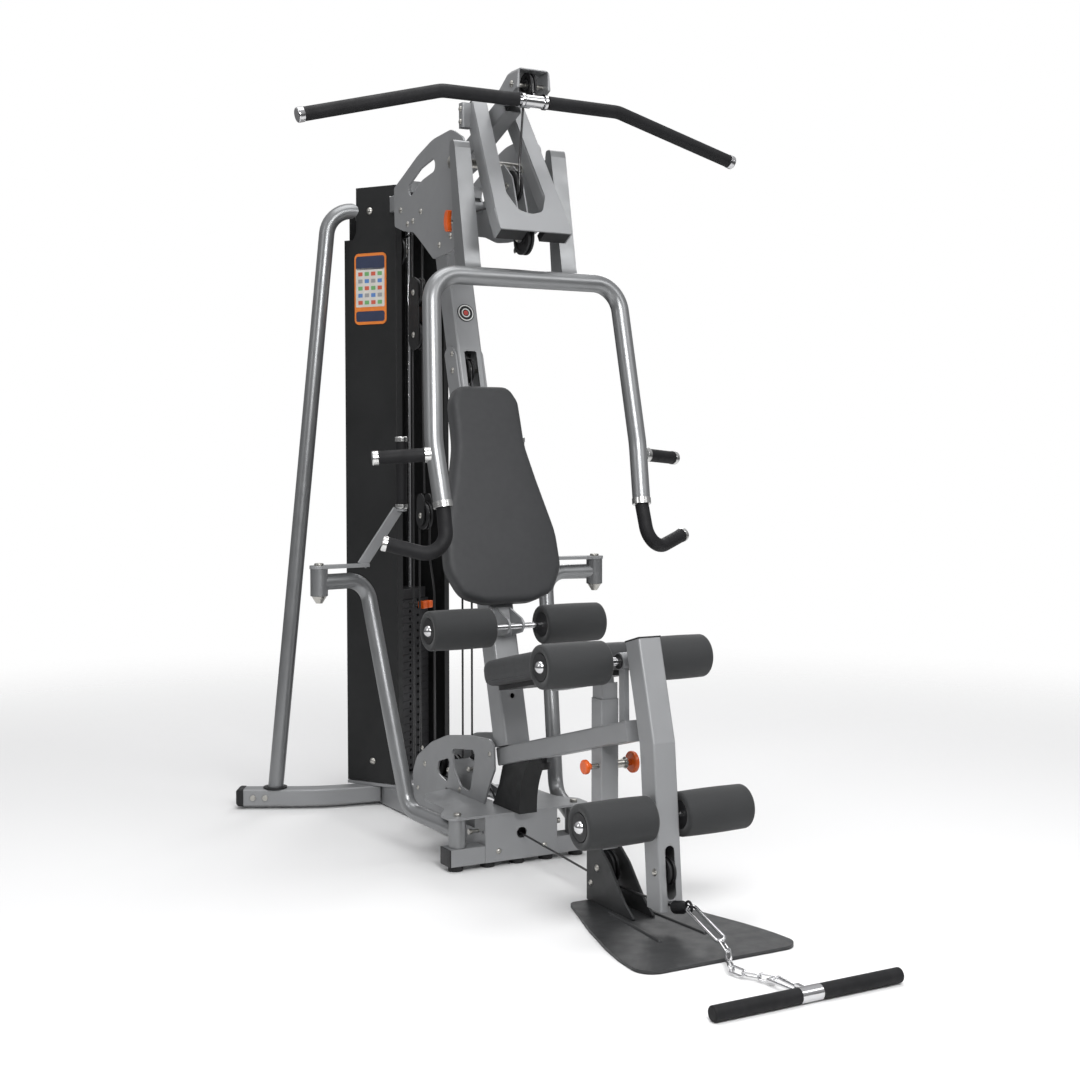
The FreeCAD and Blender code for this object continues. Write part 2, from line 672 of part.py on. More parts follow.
def head_pulley_bracket():
    """Cheeks between the legs that carry the two head pulleys."""
    y0, z0 = HEAD_PULLEY
    y1, z1 = FRONT_PULLEY
    outline = [(y0 + 26, z0 + 62), (y0 - 24, z0 + 20), (y1 - 16, z1 + 4), (y1 - 2, z1 - 15),
               (y1 + 17, z1 - 2), (y0 + 52, z0 + 4), (y0 + 92, z0 + 44)]
    cheek = plate_yz(outline, [10, 30, 14, 14, 14, 30, 14], 12, 16)
    holes = [x_rod(y, z, 0, 40, 6) for y, z in (HEAD_PULLEY, FRONT_PULLEY)]
    bar = x_rod(PRESS_PIVOT[0], PRESS_PIVOT[1], 0, 40, 12.05)
    add("frame_brackets", both(cut(cheek, holes + [bar])))
    spread = [axle_x(y, z, 21) for y, z in (HEAD_PULLEY, FRONT_PULLEY)]
    add("frame_hardware", spread)


def press_axle():
    bar = x_rod(PRESS_PIVOT[0], PRESS_PIVOT[1], -143, 143, 11.95)
    heads = [dome_x(PRESS_PIVOT[0], PRESS_PIVOT[1], 143, s, 17, 7) for s in (1, -1)]
    add("frame_hardware", [fused([bar] + heads)])


def tower_bridge():
    outer = block(-30, 30, 396, 868, 1850.5, 1901)
    long_edges = [e for e in outer.Edges if abs(e.Vertexes[0].Y - e.Vertexes[1].Y) > 100]
    outer = outer.makeFillet(5, long_edges)
    inner = block(-27, 27, 390, 880, 1853.5, 1898)
    add("tower_frame", [outer.cut(inner)])
    cap = block(-30, 30, 388, 395.9, 1850.5, 1901)
    add("frame_caps", [cap])
    ties = []
    for y in (442, 505):
        ties += both(block(30.1, FAN_X - 0.1, y - 14, y + 14, 1858, 1890))
    add("frame_brackets", ties)


# ---------------------------------------------------------------- weight tower
def tower_base():
    plate = tower(block(-6, TOWER_W + 6, -6, TOWER_D + 6, SPINE_TOP + 0.5, STACK_BASE - 20))
    add("tower_frame", [plate])
    feet = []
    for s, t in ((262, 16), (262, 160)):
        feet.append(tower(Part.makeCylinder(16, SPINE_TOP + 0.4, V(s, t, 0))))
    add("frame_caps", feet)


def tower_crown():
    plate = tower(block(10, TOWER_W - 10, 34, 150, 1838, 1850))
    add("tower_frame", [plate])


def shroud_sheet(notch):
    """Side cover: flat sheet with a bent flange along the front and rear."""
    z0, z1 = 74.0, TOWER_TOP
    sheet = block(-4, -1, -10, TOWER_D + 8, z0, z1)
    front = block(-4, 26, -10, -7, z0, z1)
    rear = block(-4, 22, TOWER_D + 5, TOWER_D + 8, z0, z1)
    solid = fused([sheet, front, rear])
    corners = []
    for edge in solid.Edges:
        a, b = edge.Vertexes[0].Point, edge.Vertexes[-1].Point
        upright = abs(a.x - b.x) < 1e-3 and abs(a.y - b.y) < 1e-3
        outer = abs(a.x + 4) < 1e-3 and (abs(a.y + 10) < 1e-3 or abs(a.y - TOWER_D - 8) < 1e-3)
        if upright and outer:
            corners.append(edge)
    solid = solid.makeFillet(2.9, corners)
    if notch:
        recess = plate_yz([(138, 2000), (138, 1800), (150, 1776), (240, 1776), (240, 2000)],
                          [0, 8, 8, 0, 0], -20, 60)
        solid = solid.cut(recess)
    return solid


def shrouds():
    left = shroud_sheet(True)
    right = shroud_sheet(False).mirror(V(TOWER_W / 2, 0, 0), X_AXIS)
    beam_notch = block(-30.5, 30.5, 390, 870, 1849.5, 1901.5)
    add("shroud_left", [tower(left).cut(beam_notch)])
    add("shroud_right", [tower(right)])
    rear = block(24, TOWER_W - 24, TOWER_D + 4, TOWER_D + 7, 74, TOWER_TOP - 40)
    add("shroud_right", [tower(rear)])


def shroud_bolts():
    heads = []
    for z in (140, 1862):
        head = dome_x(88, z, 4.05, -1, 11, 6)
        heads.append(tower(head))
        heads.append(tower(dome_x(88, z, TOWER_W + 4.05, 1, 11, 6)))
    add("frame_hardware", heads)


def placard():
    outline = [(26, 1512), (144, 1512), (144, 1732), (26, 1732)]
    plate = plate_yz(outline, [16] * 4, -6.05, -4.05)
    add("placard", [tower(plate)])


def badge():
    """Plain round badge on the front of the mast."""
    out = V(0, -1, MAST_LEAN).normalize()
    centre = V(0, mast_front(BADGE_Z), BADGE_Z) + out * 0.1
    add("placard", [Part.makeCylinder(BADGE_R, 1.6, centre, out)])


def guide_rods():
    rods = [tower(Part.makeCylinder(ROD_R, 1838 - 72.2, V(s, ROD_T, 72.1))) for s in ROD_S]
    add("guide_rods", rods)


def stack_plate(z, thickness):
    """One weight plate with rod holes, a stem hole, a pin hole and a notched front."""
    plate = block(36, 264, 44, 140, z, z + thickness)
    posts = [e for e in plate.Edges if abs(e.Vertexes[0].Z - e.Vertexes[1].Z) > 5]
    plate = plate.makeFillet(8, posts)
    tools = [Part.makeCylinder(ROD_R + 0.6, 60, V(s, ROD_T, z - 10)) for s in ROD_S]
    tools.append(Part.makeCylinder(16, 60, V(STACK_S, ROD_T, z - 10)))
    tools.append(Part.makeCylinder(6, 100, V(STACK_S, 20, z + thickness / 2), Y_AXIS))
    for s in (98, 190):
        tools.append(block(s, s + 12, 30, 52, z + thickness - 8, z + thickness + 1))
    return cut(plate, tools)


def weight_stack():
    fixed = []
    for k in range(PLATE_COUNT):
        fixed.append(tower(stack_plate(STACK_BASE + k * PLATE_PITCH, PLATE_PITCH - 1)))
    add("weight_plates", fixed)
    ring_z = 72.1
    bumpers = []
    for s in ROD_S:
        ring = Part.makeCylinder(20, STACK_BASE - ring_z - 0.1, V(s, ROD_T, ring_z))
        bumpers.append(tower(ring.cut(Part.makeCylinder(ROD_R + 0.1, 40, V(s, ROD_T, 60)))))
    add("frame_caps", bumpers)


LIFT_Z = STACK_BASE + PLATE_COUNT * PLATE_PITCH
PIN_Z = LIFT_Z + (PLATE_PITCH - 1) / 2
HEAD_Z = LIFT_Z + PLATE_PITCH


def lifted_weights():
    add("lifted_weights", [tower(stack_plate(LIFT_Z, PLATE_PITCH - 1))])
    head = block(44, 256, 50, 134, HEAD_Z, HEAD_Z + 34)
    posts = [e for e in head.Edges if abs(e.Vertexes[0].Z - e.Vertexes[1].Z) > 5]
    head = head.makeFillet(8, posts)
    bores = [Part.makeCylinder(ROD_R + 0.6, 60, V(s, ROD_T, HEAD_Z - 10)) for s in ROD_S]
    stem_bore = Part.makeCylinder(14.05, 60, V(STACK_S, ROD_T, HEAD_Z - 10))
    add("lifted_weights", [tower(cut(head, bores + [stem_bore]))])
    stem = Part.makeCylinder(14, HEAD_Z + 56 - 112, V(STACK_S, ROD_T, 112))
    cable_bore = Part.makeCylinder(CORE_R, 30, V(STACK_S, ROD_T, HEAD_Z + 40))
    pin_bore = Part.makeCylinder(5.2, 60, V(STACK_S, ROD_T - 30, PIN_Z), Y_AXIS)
    add("stack_stem", [tower(cut(stem, [cable_bore, pin_bore]))])
    pin = Part.makeCylinder(4.75, 116, V(STACK_S, -2, PIN_Z), Y_AXIS)
    add("selector_pin", [tower(pin)])
    grips = []
    for s in (122, 153):
        grip = block(s, s + 25, -26, -2.1, PIN_Z - 12, PIN_Z + 12)
        grips.append(grip.makeFillet(4, grip.Edges))
    bridge = block(140, 160, -20, -8, PIN_Z - 6, PIN_Z + 6)
    add("selector_pin", [tower(fused(grips + [bridge]))])


# ---------------------------------------------------------------- pulleys, blocks and cables
TOWER_CENTRE = tower(Part.Vertex(STACK_S, ROD_T, 0)).Point
LAT_TURN = V(0, 500, 0)


def lat_cable():
    """Wire from the lat bar over the hood, through the head and down to the stack."""
    y_rear = HEAD_PULLEY[0] - ROPE_LINE_R
    y_hood_rear = HOOD_PULLEY[0] + HOOD_ROPE_R
    top = HOOD_PULLEY[1] + HOOD_ROPE_R
    side = (TOWER_CENTRE - LAT_TURN).normalize()
    reach = ROPE_LINE_R
    points = [V(0, LAT_BAR_Y, LAT_EYE_Z + 9), V(0, LAT_BAR_Y, top), V(0, y_hood_rear, top),
              V(0, y_hood_rear, HOOD_PULLEY[1] - 40), V(0, y_rear, HEAD_PULLEY[1] + 60),
              V(0, y_rear, LAT_RUN_Z), V(0, LAT_TURN.y, LAT_RUN_Z),
              V(TOWER_CENTRE.x, TOWER_CENTRE.y, LAT_RUN_Z),
              V(TOWER_CENTRE.x, TOWER_CENTRE.y, 1192)]
    radii = [0, HOOD_ROPE_R, HOOD_ROPE_R, 200, 200, reach, 250, reach, 0]
    cable = pipe(points, radii, CABLE_R)
    hollow = Part.makeCylinder(CORE_R + 0.3, LAT_RUN_Z - reach - 1191,
                               V(TOWER_CENTRE.x, TOWER_CENTRE.y, 1191))
    add("lat_cable", [cable.cut(hollow)])
    core = Part.makeCylinder(CORE_R, 1196 - HEAD_Z - 40.05, V(STACK_S, ROD_T, HEAD_Z + 40.05))
    add("stack_stem", [tower(core)])
    centre = V(TOWER_CENTRE.x, TOWER_CENTRE.y, LAT_RUN_Z - reach) - side * reach
    wheel = sheave(0, 0)
    wheel.rotate(V(0, 0, 0), Z_AXIS, math.degrees(math.atan2(side.y, side.x)) - 90)
    wheel.translate(centre)
    add("frame_pulleys", [wheel])
    axle = axle_x(0, 0, 24)
    cheek = plate_yz([(-24, -24), (24, -24), (28, 87), (-28, 87)], [20, 20, 2, 2], 13, 17)
    cheek = cheek.cut(x_rod(0, 0, 0, 40, 6))
    hanger = Part.makeCompound(both(cheek))
    for shape in (axle, hanger):
        shape.rotate(V(0, 0, 0), Z_AXIS, math.degrees(math.atan2(side.y, side.x)) - 90)
        shape.translate(centre)
    limit = block(-500, 500, 0, 1500, 0, 1837.9)
    add("frame_brackets", [s.common(limit) for s in hanger.Solids])
    add("frame_hardware", [axle])


BLOCK_X = -15.0
SMALL_BLOCK = (556.0, 925.0)
BIG_BLOCK = ((600.0, 1466.0), (600.0, 1592.0))


def row_cable():
    """Wire from the leg developer under the column, up into the mast and back to the blocks."""
    y_up = MAST_PULLEY[0] - MAST_ROPE_R
    y_down = MAST_PULLEY[0] + MAST_ROPE_R
    top = MAST_PULLEY[1] + MAST_ROPE_R
    b = BASE_PULLEYS[1]
    low = b[1] - ROPE_LINE_R
    a_low = BASE_PULLEYS[0][1] - ROPE_LINE_R
    y_block = SMALL_BLOCK[0] - ROPE_LINE_R
    block_top = SMALL_BLOCK[1] + ROPE_LINE_R
    y_anchor = SMALL_BLOCK[0] + ROPE_LINE_R
    points = [V(0, -771.5, 71), V(0, -478, FLOOR_ROPE_Z), V(0, 62, 90), V(0, 158, a_low),
              V(0, y_up, a_low), V(0, y_up, top), V(0, y_down, top), V(0, y_down, low),
              V(0, y_block, low), V(0, y_block, 700), V(BLOCK_X, y_block, 800),
              V(BLOCK_X, y_block, block_top), V(BLOCK_X, y_anchor, block_top),
              V(BLOCK_X, y_anchor, SPINE_TOP + 0.5)]
    radii = [0, ROPE_LINE_R, 60, 45, ROPE_LINE_R, MAST_ROPE_R, MAST_ROPE_R, ROPE_LINE_R,
             ROPE_LINE_R, 300, 300, ROPE_LINE_R, ROPE_LINE_R, 0]
    add("row_cable", [pipe(points, radii, CABLE_R)])


def block_cable():
    """Short wires that hang the two floating pulley blocks from the bridge."""
    (y, z_low), (_, z_high) = BIG_BLOCK
    y0, y1 = y - ROPE_LINE_R, y + ROPE_LINE_R
    bottom = z_high - ROPE_LINE_R
    points = [V(BLOCK_X, y0, 1850.2), V(BLOCK_X, y0, bottom), V(BLOCK_X, y1, bottom),
              V(BLOCK_X, y1, 1850.2)]
    upper = pipe(points, [0, ROPE_LINE_R, ROPE_LINE_R, 0], CABLE_R)
    top = z_low + ROPE_LINE_R
    points = [V(BLOCK_X, SMALL_BLOCK[0], SMALL_BLOCK[1] + 66), V(BLOCK_X, y0, 1300),
              V(BLOCK_X, y0, top), V(BLOCK_X, y1, top), V(BLOCK_X, y1, 74),
              ]
    lower = pipe(points, [0, 400, ROPE_LINE_R, ROPE_LINE_R, 0], CABLE_R)
    add("row_cable", [upper, lower])


def stadium_plate(y, z0, z1, half, x0, x1):
    outline = [(y - half, z0), (y + half, z0), (y + half, z1), (y - half, z1)]
    return plate_yz(outline, [half - 0.01] * 4, x0, x1)


def floating_blocks():
    """Oval cheek plates that hold the floating pulleys."""
    y, z = SMALL_BLOCK
    gap = SHEAVE_W / 2 + 1
    plates = []
    for x0 in (BLOCK_X - gap - 4, BLOCK_X + gap):
        plate = stadium_plate(y, z - 30, z + 66, 26, x0, x0 + 4)
        plates.append(plate.cut(x_rod(y, z, -60, 60, 6)))
    (y, z0), (_, z1) = BIG_BLOCK
    for x0 in (BLOCK_X - gap - 4, BLOCK_X + gap):
        plate = stadium_plate(y, z0 - 46, z1 + 46, 34, x0, x0 + 4)
        for z in (z0, z1):
            plate = plate.cut(x_rod(y, z, -60, 60, 6))
        plates.append(plate)
    add("frame_brackets", plates)
    spots = [SMALL_BLOCK, BIG_BLOCK[0], BIG_BLOCK[1]]
    add("frame_hardware", [axle_x(y, z, gap + 4, x=BLOCK_X) for y, z in spots])
    add("frame_pulleys", [sheave(y, z, BLOCK_X, bore=6.05) for y, z in spots])


def fixed_pulleys():
    add("hood_pulley", [sheave(*HOOD_PULLEY, radius=HOOD_ROPE_R + 6, rope=HOOD_ROPE_R)])
    add("frame_pulleys", [sheave(*HEAD_PULLEY)])
    add("frame_pulleys", [sheave(*FRONT_PULLEY)])
    add("frame_pulleys", [sheave(y, z, bore=6.05) for y, z in BASE_PULLEYS])
    add("frame_pulleys", [sheave(*MAST_PULLEY, bore=6.05, radius=35, rope=MAST_ROPE_R)])
    add("frame_hardware", [axle_x(*MAST_PULLEY, MAST_HALF + 6.05)])
    add("frame_pulleys", [sheave(-475, 97)])
    add("frame_hardware", [axle_x(-475, 97, COLUMN_HALF + 6.15)])


# ---------------------------------------------------------------- press arm
def press_upright():
    """Tapered box hung on the pivot by an ear plate, welded to the back of the crossbar below."""
    outline = [(-50, 1560), (18, 1560), (26, 1605), (60, 1915), (56, 1934), (34, 1934), (27, 1915),
               (-32, 1605)]
    outer = plate_yz(outline, [0, 0, 60, 8, 8, 8, 8, 60], UPRIGHT_X, UPRIGHT_X + UPRIGHT_W)
    hollow = [(-60, 1540), (14, 1540), (22, 1605), (55, 1912), (31, 1912), (-28, 1605)]
    inner = plate_yz(hollow, [0, 0, 60, 4, 4, 60], UPRIGHT_X + WALL, UPRIGHT_X + UPRIGHT_W - WALL)
    y, z = PRESS_PIVOT
    ear = plate_yz([(y + 26, z - 6), (y + 14, z + 26), (40, z + 18), (30, 1800), (44, 1790), (70, 1824)],
                   [24, 24, 10, 4, 6, 60], UPRIGHT_X, UPRIGHT_X + PLATE)
    boss = x_rod(y, z, UPRIGHT_X + PLATE, 142.8, 19)
    bore = x_rod(y, z, 100, 180, 12.05)
    crossbar = x_rod(CROSSBAR[0], CROSSBAR[1], 60, 190, TUBE_R + 0.05)
    return cut(fused([outer.cut(inner), ear, boss]), [bore, crossbar])


U_END = V(296, -160, 990)
U_BEND = V(304, -128, 1137)
U_CORNER = V(278, CROSSBAR[0], CROSSBAR[1])


def mirrored_point(point):
    return V(-point.x, point.y, point.z)


def press_arm():
    add("press_arm", both(press_upright()))
    points = [U_END, U_BEND, U_CORNER]
    points += [mirrored_point(p) for p in points[::-1]]
    add("press_arm", [tube(points, [0, 260, 78, 78, 260, 0], TUBE_R)])
    lower = (U_END - U_BEND).normalize()
    collar_start = U_END + lower * 0.1
    collar = Part.makeCylinder(25.5, 16, collar_start, lower)
    stub_start = V(326, -133, 1107)
    stub_end = V(452, -86, 1098)
    out = (stub_end - stub_start).normalize()
    leg = pipe([U_END, U_BEND, U_CORNER], [0, 260, 0], TUBE_R + 0.05)
    ring = Part.makeCylinder(20.5, 16, stub_start - out * 10, out).cut(leg)
    add("press_fittings", both(collar) + both(ring))
    grip_start = collar_start + lower * 16.1
    j_points = [grip_start, V(300, -200, 846), V(438, -140, 885)]
    add("press_grips", both(pipe(j_points, [0, 52, 0], 18.5).cut(collar)))
    stub_grip_start = stub_start + out * 6.1
    stub_length = (stub_end - stub_grip_start).Length - 13
    add("press_grips", both(Part.makeCylinder(17.5, stub_length, stub_grip_start, out)))
    caps = []
    tip = stub_grip_start + out * (stub_length + 0.1)
    caps += both(rounded_cap(tip, out, 18.6, 16))
    j_out = (j_points[2] - j_points[1]).normalize()
    caps += both(rounded_cap(j_points[2] + j_out * 0.1, j_out, 19.6, 14))
    add("press_fittings", caps)


def rounded_cap(start, direction, radius, length):
    body = Part.makeCylinder(radius, length, start, direction)
    far = start + direction * length
    edges = [e for e in body.Edges if abs((e.CenterOfMass - far).Length) < 1e-3]
    return body.makeFillet(min(4.0, length * 0.4), edges)


def press_pin():
    """Pull pin with a crescent handle, just behind the left upright of the press arm."""
    y, z = PRESS_PIN
    add("press_pull_pin", [x_rod(y, z, -148, -108, 6)])
    collar = x_rod(y, z, -134, -118.2, 10.5).cut(x_rod(y, z, -200, -100, 6.08))
    add("frame_hardware", [collar])
    handle = plate_yz([(y - 12, z - 28), (y + 6, z - 30), (y + 16, z), (y + 6, z + 30), (y - 12, z + 28),
                       (y - 7, z)], [5, 14, 40, 14, 5, 30], -160, -148.1)
    add("press_pull_pin", [handle])


# ---------------------------------------------------------------- lat bar and low bar
LAT_BAR_Z = 2026.0
LAT_EYE_Z = 2040.0
LAT_CENTRE = V(0, LAT_BAR_Y, LAT_BAR_Z)
LAT_BEND = V(261, LAT_BAR_Y + 2, 2025)
LAT_TIP = V(641, LAT_BAR_Y + 9, 1926)


def lat_bar():
    """Wide pulldown bar: a bent rod with two long rubber sleeves, end caps and a swivel hub."""
    tip = LAT_TIP
    path = [mirrored_point(tip), mirrored_point(LAT_BEND), LAT_CENTRE, LAT_BEND, tip]
    radii = [0, 90, 3000, 90, 0]
    out = (tip - LAT_BEND).normalize()
    add("lat_bar", [pipe(path, radii, 12.5)])
    sleeve_start = LAT_CENTRE + (LAT_BEND - LAT_CENTRE).normalize() * 44
    sleeve = pipe([sleeve_start, LAT_BEND, tip - out * 12], [0, 90, 0], 17.5)
    core = pipe(path[1:], [0, 3000, 90, 0], 12.9)
    add("lat_bar_grips", both(sleeve.cut(core)))
    cap = rounded_cap(tip - out * 11.9, out, 18.6, 16)
    cap = cap.cut(Part.makeCylinder(12.6, 12.4, tip - out * 12.4, out))
    add("lat_bar", both(cap))
    half = X_AXIS * 26
    hub = rod(LAT_CENTRE - half, LAT_CENTRE + half, 17)
    bore = rod(LAT_CENTRE - half * 2, LAT_CENTRE + half * 2, 13.0)
    ring = rod(LAT_CENTRE + X_AXIS * 30, LAT_CENTRE + X_AXIS * 38, 20).cut(bore)
    eye = Part.makeTorus(5.6, 2.0, V(0, LAT_BAR_Y, LAT_EYE_Z), X_AXIS)
    add("lat_bar", [fused([hub, eye]).cut(bore)] + both(ring))


def chain_link(centre, along, twist, length=46.0, wire=2.6, width=15.0):
    """One oval link: two straight runs joined by two half circles."""
    half = length / 2 - width / 2 - wire
    points = [V(-half, -width / 2, 0), V(half, -width / 2, 0), V(half + width / 2, 0, 0),
              V(half, width / 2, 0), V(-half, width / 2, 0), V(-half - width / 2, 0, 0)]
    edges = [Part.LineSegment(points[0], points[1]).toShape(),
             Part.Arc(points[1], points[2], points[3]).toShape(),
             Part.LineSegment(points[3], points[4]).toShape(),
             Part.Arc(points[4], points[5], points[0]).toShape()]
    profile = Part.Wire([Part.Circle(points[0], V(1, 0, 0), wire).toShape()])
    link = Part.Wire(edges).makePipeShell([profile], True, True)
    link.rotate(V(0, 0, 0), X_AXIS, twist)
    turn = FreeCAD.Rotation(V(1, 0, 0), along)
    link.Placement = FreeCAD.Placement(centre, turn).multiply(link.Placement)
    return link


LOW_BAR = V(0, -1256, 17)
YOKE_PIN = LOW_BAR + V(0, 34, -3)
YOKE_NOSE = LOW_BAR + V(0, 118, -4)


def low_bar():
    """Short straight bar on the floor: two grips, a bright sleeve with a lug, and a yoke."""
    for side in (-1, 1):
        start = LOW_BAR + X_AXIS * (side * 27)
        add("low_bar_grips", [rounded_cap(start, V(side, 0, 0), 16.5, 213)])
    sleeve = rod(LOW_BAR - X_AXIS * 26.9, LOW_BAR + X_AXIS * 26.9, 17)
    y, z = LOW_BAR.y, LOW_BAR.z
    lug = block(-5, 5, y + 12, y + 42, z - 9, z + 9)
    pin = rod(YOKE_PIN - X_AXIS * 13, YOKE_PIN + X_AXIS * 13, 4)
    add("row_chain", [fused([sleeve, lug]).cut(pin)])
    arms = [rod(YOKE_PIN + X_AXIS * (s * 9), YOKE_NOSE + X_AXIS * (s * 14), 4) for s in (-1, 1)]
    nose = rod(YOKE_NOSE - X_AXIS * 16, YOKE_NOSE + X_AXIS * 16, 4)
    add("row_chain", [fused(arms + [pin, nose])])


CHAIN_POINTS = (V(0, -1143, 12), V(-15, -1111, 12), V(-34, -1080, 12), V(-40, -1045, 13),
                V(-24, -1015, 19), V(-7, -985, 30), V(-2, -950, 45))
HOOK_LOW = V(-2, -957, 45)
STOP_EYE = V(0, -829, 86)


def row_chain():
    """Bright chain from the yoke up to the carabiner that hangs in the cable stop's eye."""
    links = []
    for k in range(len(CHAIN_POINTS) - 1):
        a, b = CHAIN_POINTS[k], CHAIN_POINTS[k + 1]
        links.append(chain_link((a + b) * 0.5, b - a, 45 if k % 2 else -45))
    add("row_chain", links)
    hook_line = STOP_EYE - HOOK_LOW
    add("row_chain", [chain_link((STOP_EYE + HOOK_LOW) * 0.5, hook_line, 0,
                                 length=hook_line.Length + 8.4, wire=4.2, width=20)])
    stop_foot = V(0, -773, 71.2)
    stop_axis = V(0, -48, 12).normalize()
    stop = Part.makeCylinder(15, 28, stop_foot, stop_axis)
    cone = Part.makeCone(15, 8, 16, stop_foot + stop_axis * 28, stop_axis)
    eye = Part.makeTorus(12, 3, STOP_EYE + V(0, 3, -0.5), X_AXIS)
    add("low_bar_grips", [fused([stop, cone, eye])])


# ---------------------------------------------------------------- leg developer
def leg_arm():
    solid = box_tube(list(LEG_PATH), 62, LEG_HALF)
    bottom_z = 58
    floor_cut = block(-60, 60, -900, -600, 0, bottom_z)
    slot = stadium_front(0, 84, 208, 13, -800, -736)
    cable_slot = block(-12, 12, -800, -640, 50, 82)
    axle = x_rod(ANKLE_AXLE[0], ANKLE_AXLE[1], -80, 80, 8.05)
    wheel_axle = x_rod(*LEG_PULLEY, -80, 80, 6)
    solid = cut(solid, [floor_cut, slot, cable_slot, axle, wheel_axle])
    add("leg_arm", [solid])
    lift = V(0, LEG_PATH[0][0] - LEG_PATH[1][0], LEG_PATH[0][1] - LEG_PATH[1][1]).normalize()
    start = V(0, *LEG_PATH[0]) + lift * 0.1
    end = start + lift * 4
    top_outline = strip([(start.y, start.z), (end.y, end.z)], 62)
    add("leg_cap", [plate_yz(top_outline, [0] * 4, -LEG_HALF, LEG_HALF)])
    y, z = KNEE
    lug = [(y + 22, z - 18), (y + 22, z + 18), (y - 6, z + 26), (-600, 656), (-632, 650), (-640, 590),
           (-600, 572)]
    plate = plate_yz(lug, [20, 20, 20, 12, 0, 0, 20], 18, 30)
    plate = plate.cut(x_rod(y, z, 0, 60, 10.3))
    add("leg_arm", [trimmed(plate, "leg_arm")])
    add("leg_pulley", [sheave(*LEG_PULLEY, radius=SHEAVE_R - 10, rope=ROPE_LINE_R - 10)])
    add("leg_pulley", [axle_x(*LEG_PULLEY, LEG_HALF + 0.05)])


def stadium_front(x, z0, z1, half, y0, y1):
    """Upright slot through a face that looks along Y."""
    points = [V(x - half, y0, z0), V(x + half, y0, z0), V(x + half, y0, z1), V(x - half, y0, z1)]
    wire = Part.Wire(rounded_edges(points, [half - 0.01] * 4, True))
    return Part.Face(wire).extrude(V(0, y1 - y0, 0))


def roller_set(name, y, z, inner, outer, radius_axle):
    """Two foam rollers with hub discs on one turning axle with domed end caps."""
    foam = x_rod(y, z, inner, outer, ROLLER_R)
    rims = [e for e in foam.Edges if len(e.Vertexes) == 1 and e.Length > 300]
    foam = foam.makeFillet(7, rims)
    recess = x_rod(y, z, outer - 6, outer + 1, 33)
    recess_in = x_rod(y, z, inner - 1, inner + 6, 33)
    bore = x_rod(y, z, inner - 1, outer + 1, radius_axle + 3)
    foam = cut(foam, [recess, recess_in, bore])
    add(name + "_foam", both(foam))
    hubs = []
    for x0 in (outer - 5.9, inner + 1.9):
        disc = x_rod(y, z, x0, x0 + 4, 32.5).cut(x_rod(y, z, x0 - 9, x0 + 9, radius_axle + 0.05))
        hubs.append(disc)
    add(name + "_axle", both(hubs[0]) + both(hubs[1]))
    bar = x_rod(y, z, -outer + 1.8, outer - 1.8, radius_axle)
    caps = [dome_x(y, z, outer - 1.8, s, 16, 12) for s in (1, -1)]
    add(name + "_axle", [fused([bar] + caps)])


def rollers():
    roller_set("knee_roller", KNEE[0], KNEE[1], 56, 230, 10)
    roller_set("ankle_roller", ANKLE_AXLE[0], ANKLE_AXLE[1], 41, 227, 8)
    roller_set("hold_roller", HOLD_AXLE[0], HOLD_AXLE[1], 78, 261, 8)


def hold_bracket():
    """Carriage on the mast that carries the hold down axle."""
    y, z = HOLD_AXLE
    z0, z1 = 612, 690
    outline = [(y - 16, z + 4), (y + 2, z - 18), (mast_front(z0) - 0.4, z0),
               (mast_front(z1) - 0.4, z1), (y + 2, z + 20)]
    arm = plate_yz(outline, [14, 10, 2, 2, 14], 18, 24)
    arm = arm.cut(x_rod(y, z, 0, 60, 8.06))
    back = plate_yz([(mast_front(z0) - 6.4, z0), (mast_front(z0) - 0.4, z0),
                     (mast_front(z1) - 0.4, z1), (mast_front(z1) - 6.4, z1)], [0] * 4, -18, 18)
    add("frame_brackets", [fused(both(arm) + [back])])


def knob(start, direction, radius):
    """Round pull knob with a narrow neck."""
    neck = Part.makeCylinder(8, 8, start, direction)
    head_start = start + direction * 8
    head = Part.makeCylinder(radius, 13, head_start, direction)
    rims = [e for e in head.Edges if len(e.Vertexes) == 1]
    return fused([neck, head.makeFillet(4.5, rims)])


def pull_pins():
    out = V(-1, 0, 0)
    y, z = SIDE_PINS
    add("seat_pull_pin", [x_rod(y, z, -46, -17, 5.6)])
    add("seat_pull_pin", [knob(V(-46.1, y, z), out, 18)])
    barrel = x_rod(y, z, COLUMN_HALF + 0.1, 46, 11)
    flare = Part.makeCone(11, 15, 8, V(46, y, z), X_AXIS)
    add("frame_hardware", [fused([barrel, flare]).cut(x_rod(y, z, 0, 80, 6.1))])
    add("lock_pull_pin", [x_rod(y, z, 17, 60, 6)])
    add("lock_pull_pin", [knob(V(60.1, y, z), X_AXIS, 27)])


# ---------------------------------------------------------------- seat and back pad
SEAT_TILT = 12.0
SEAT_REAR = (-72.0, 533.0)      # middle of the pad's rear edge
SEAT_LENGTH = 396.0
SEAT_THICK = 72.0


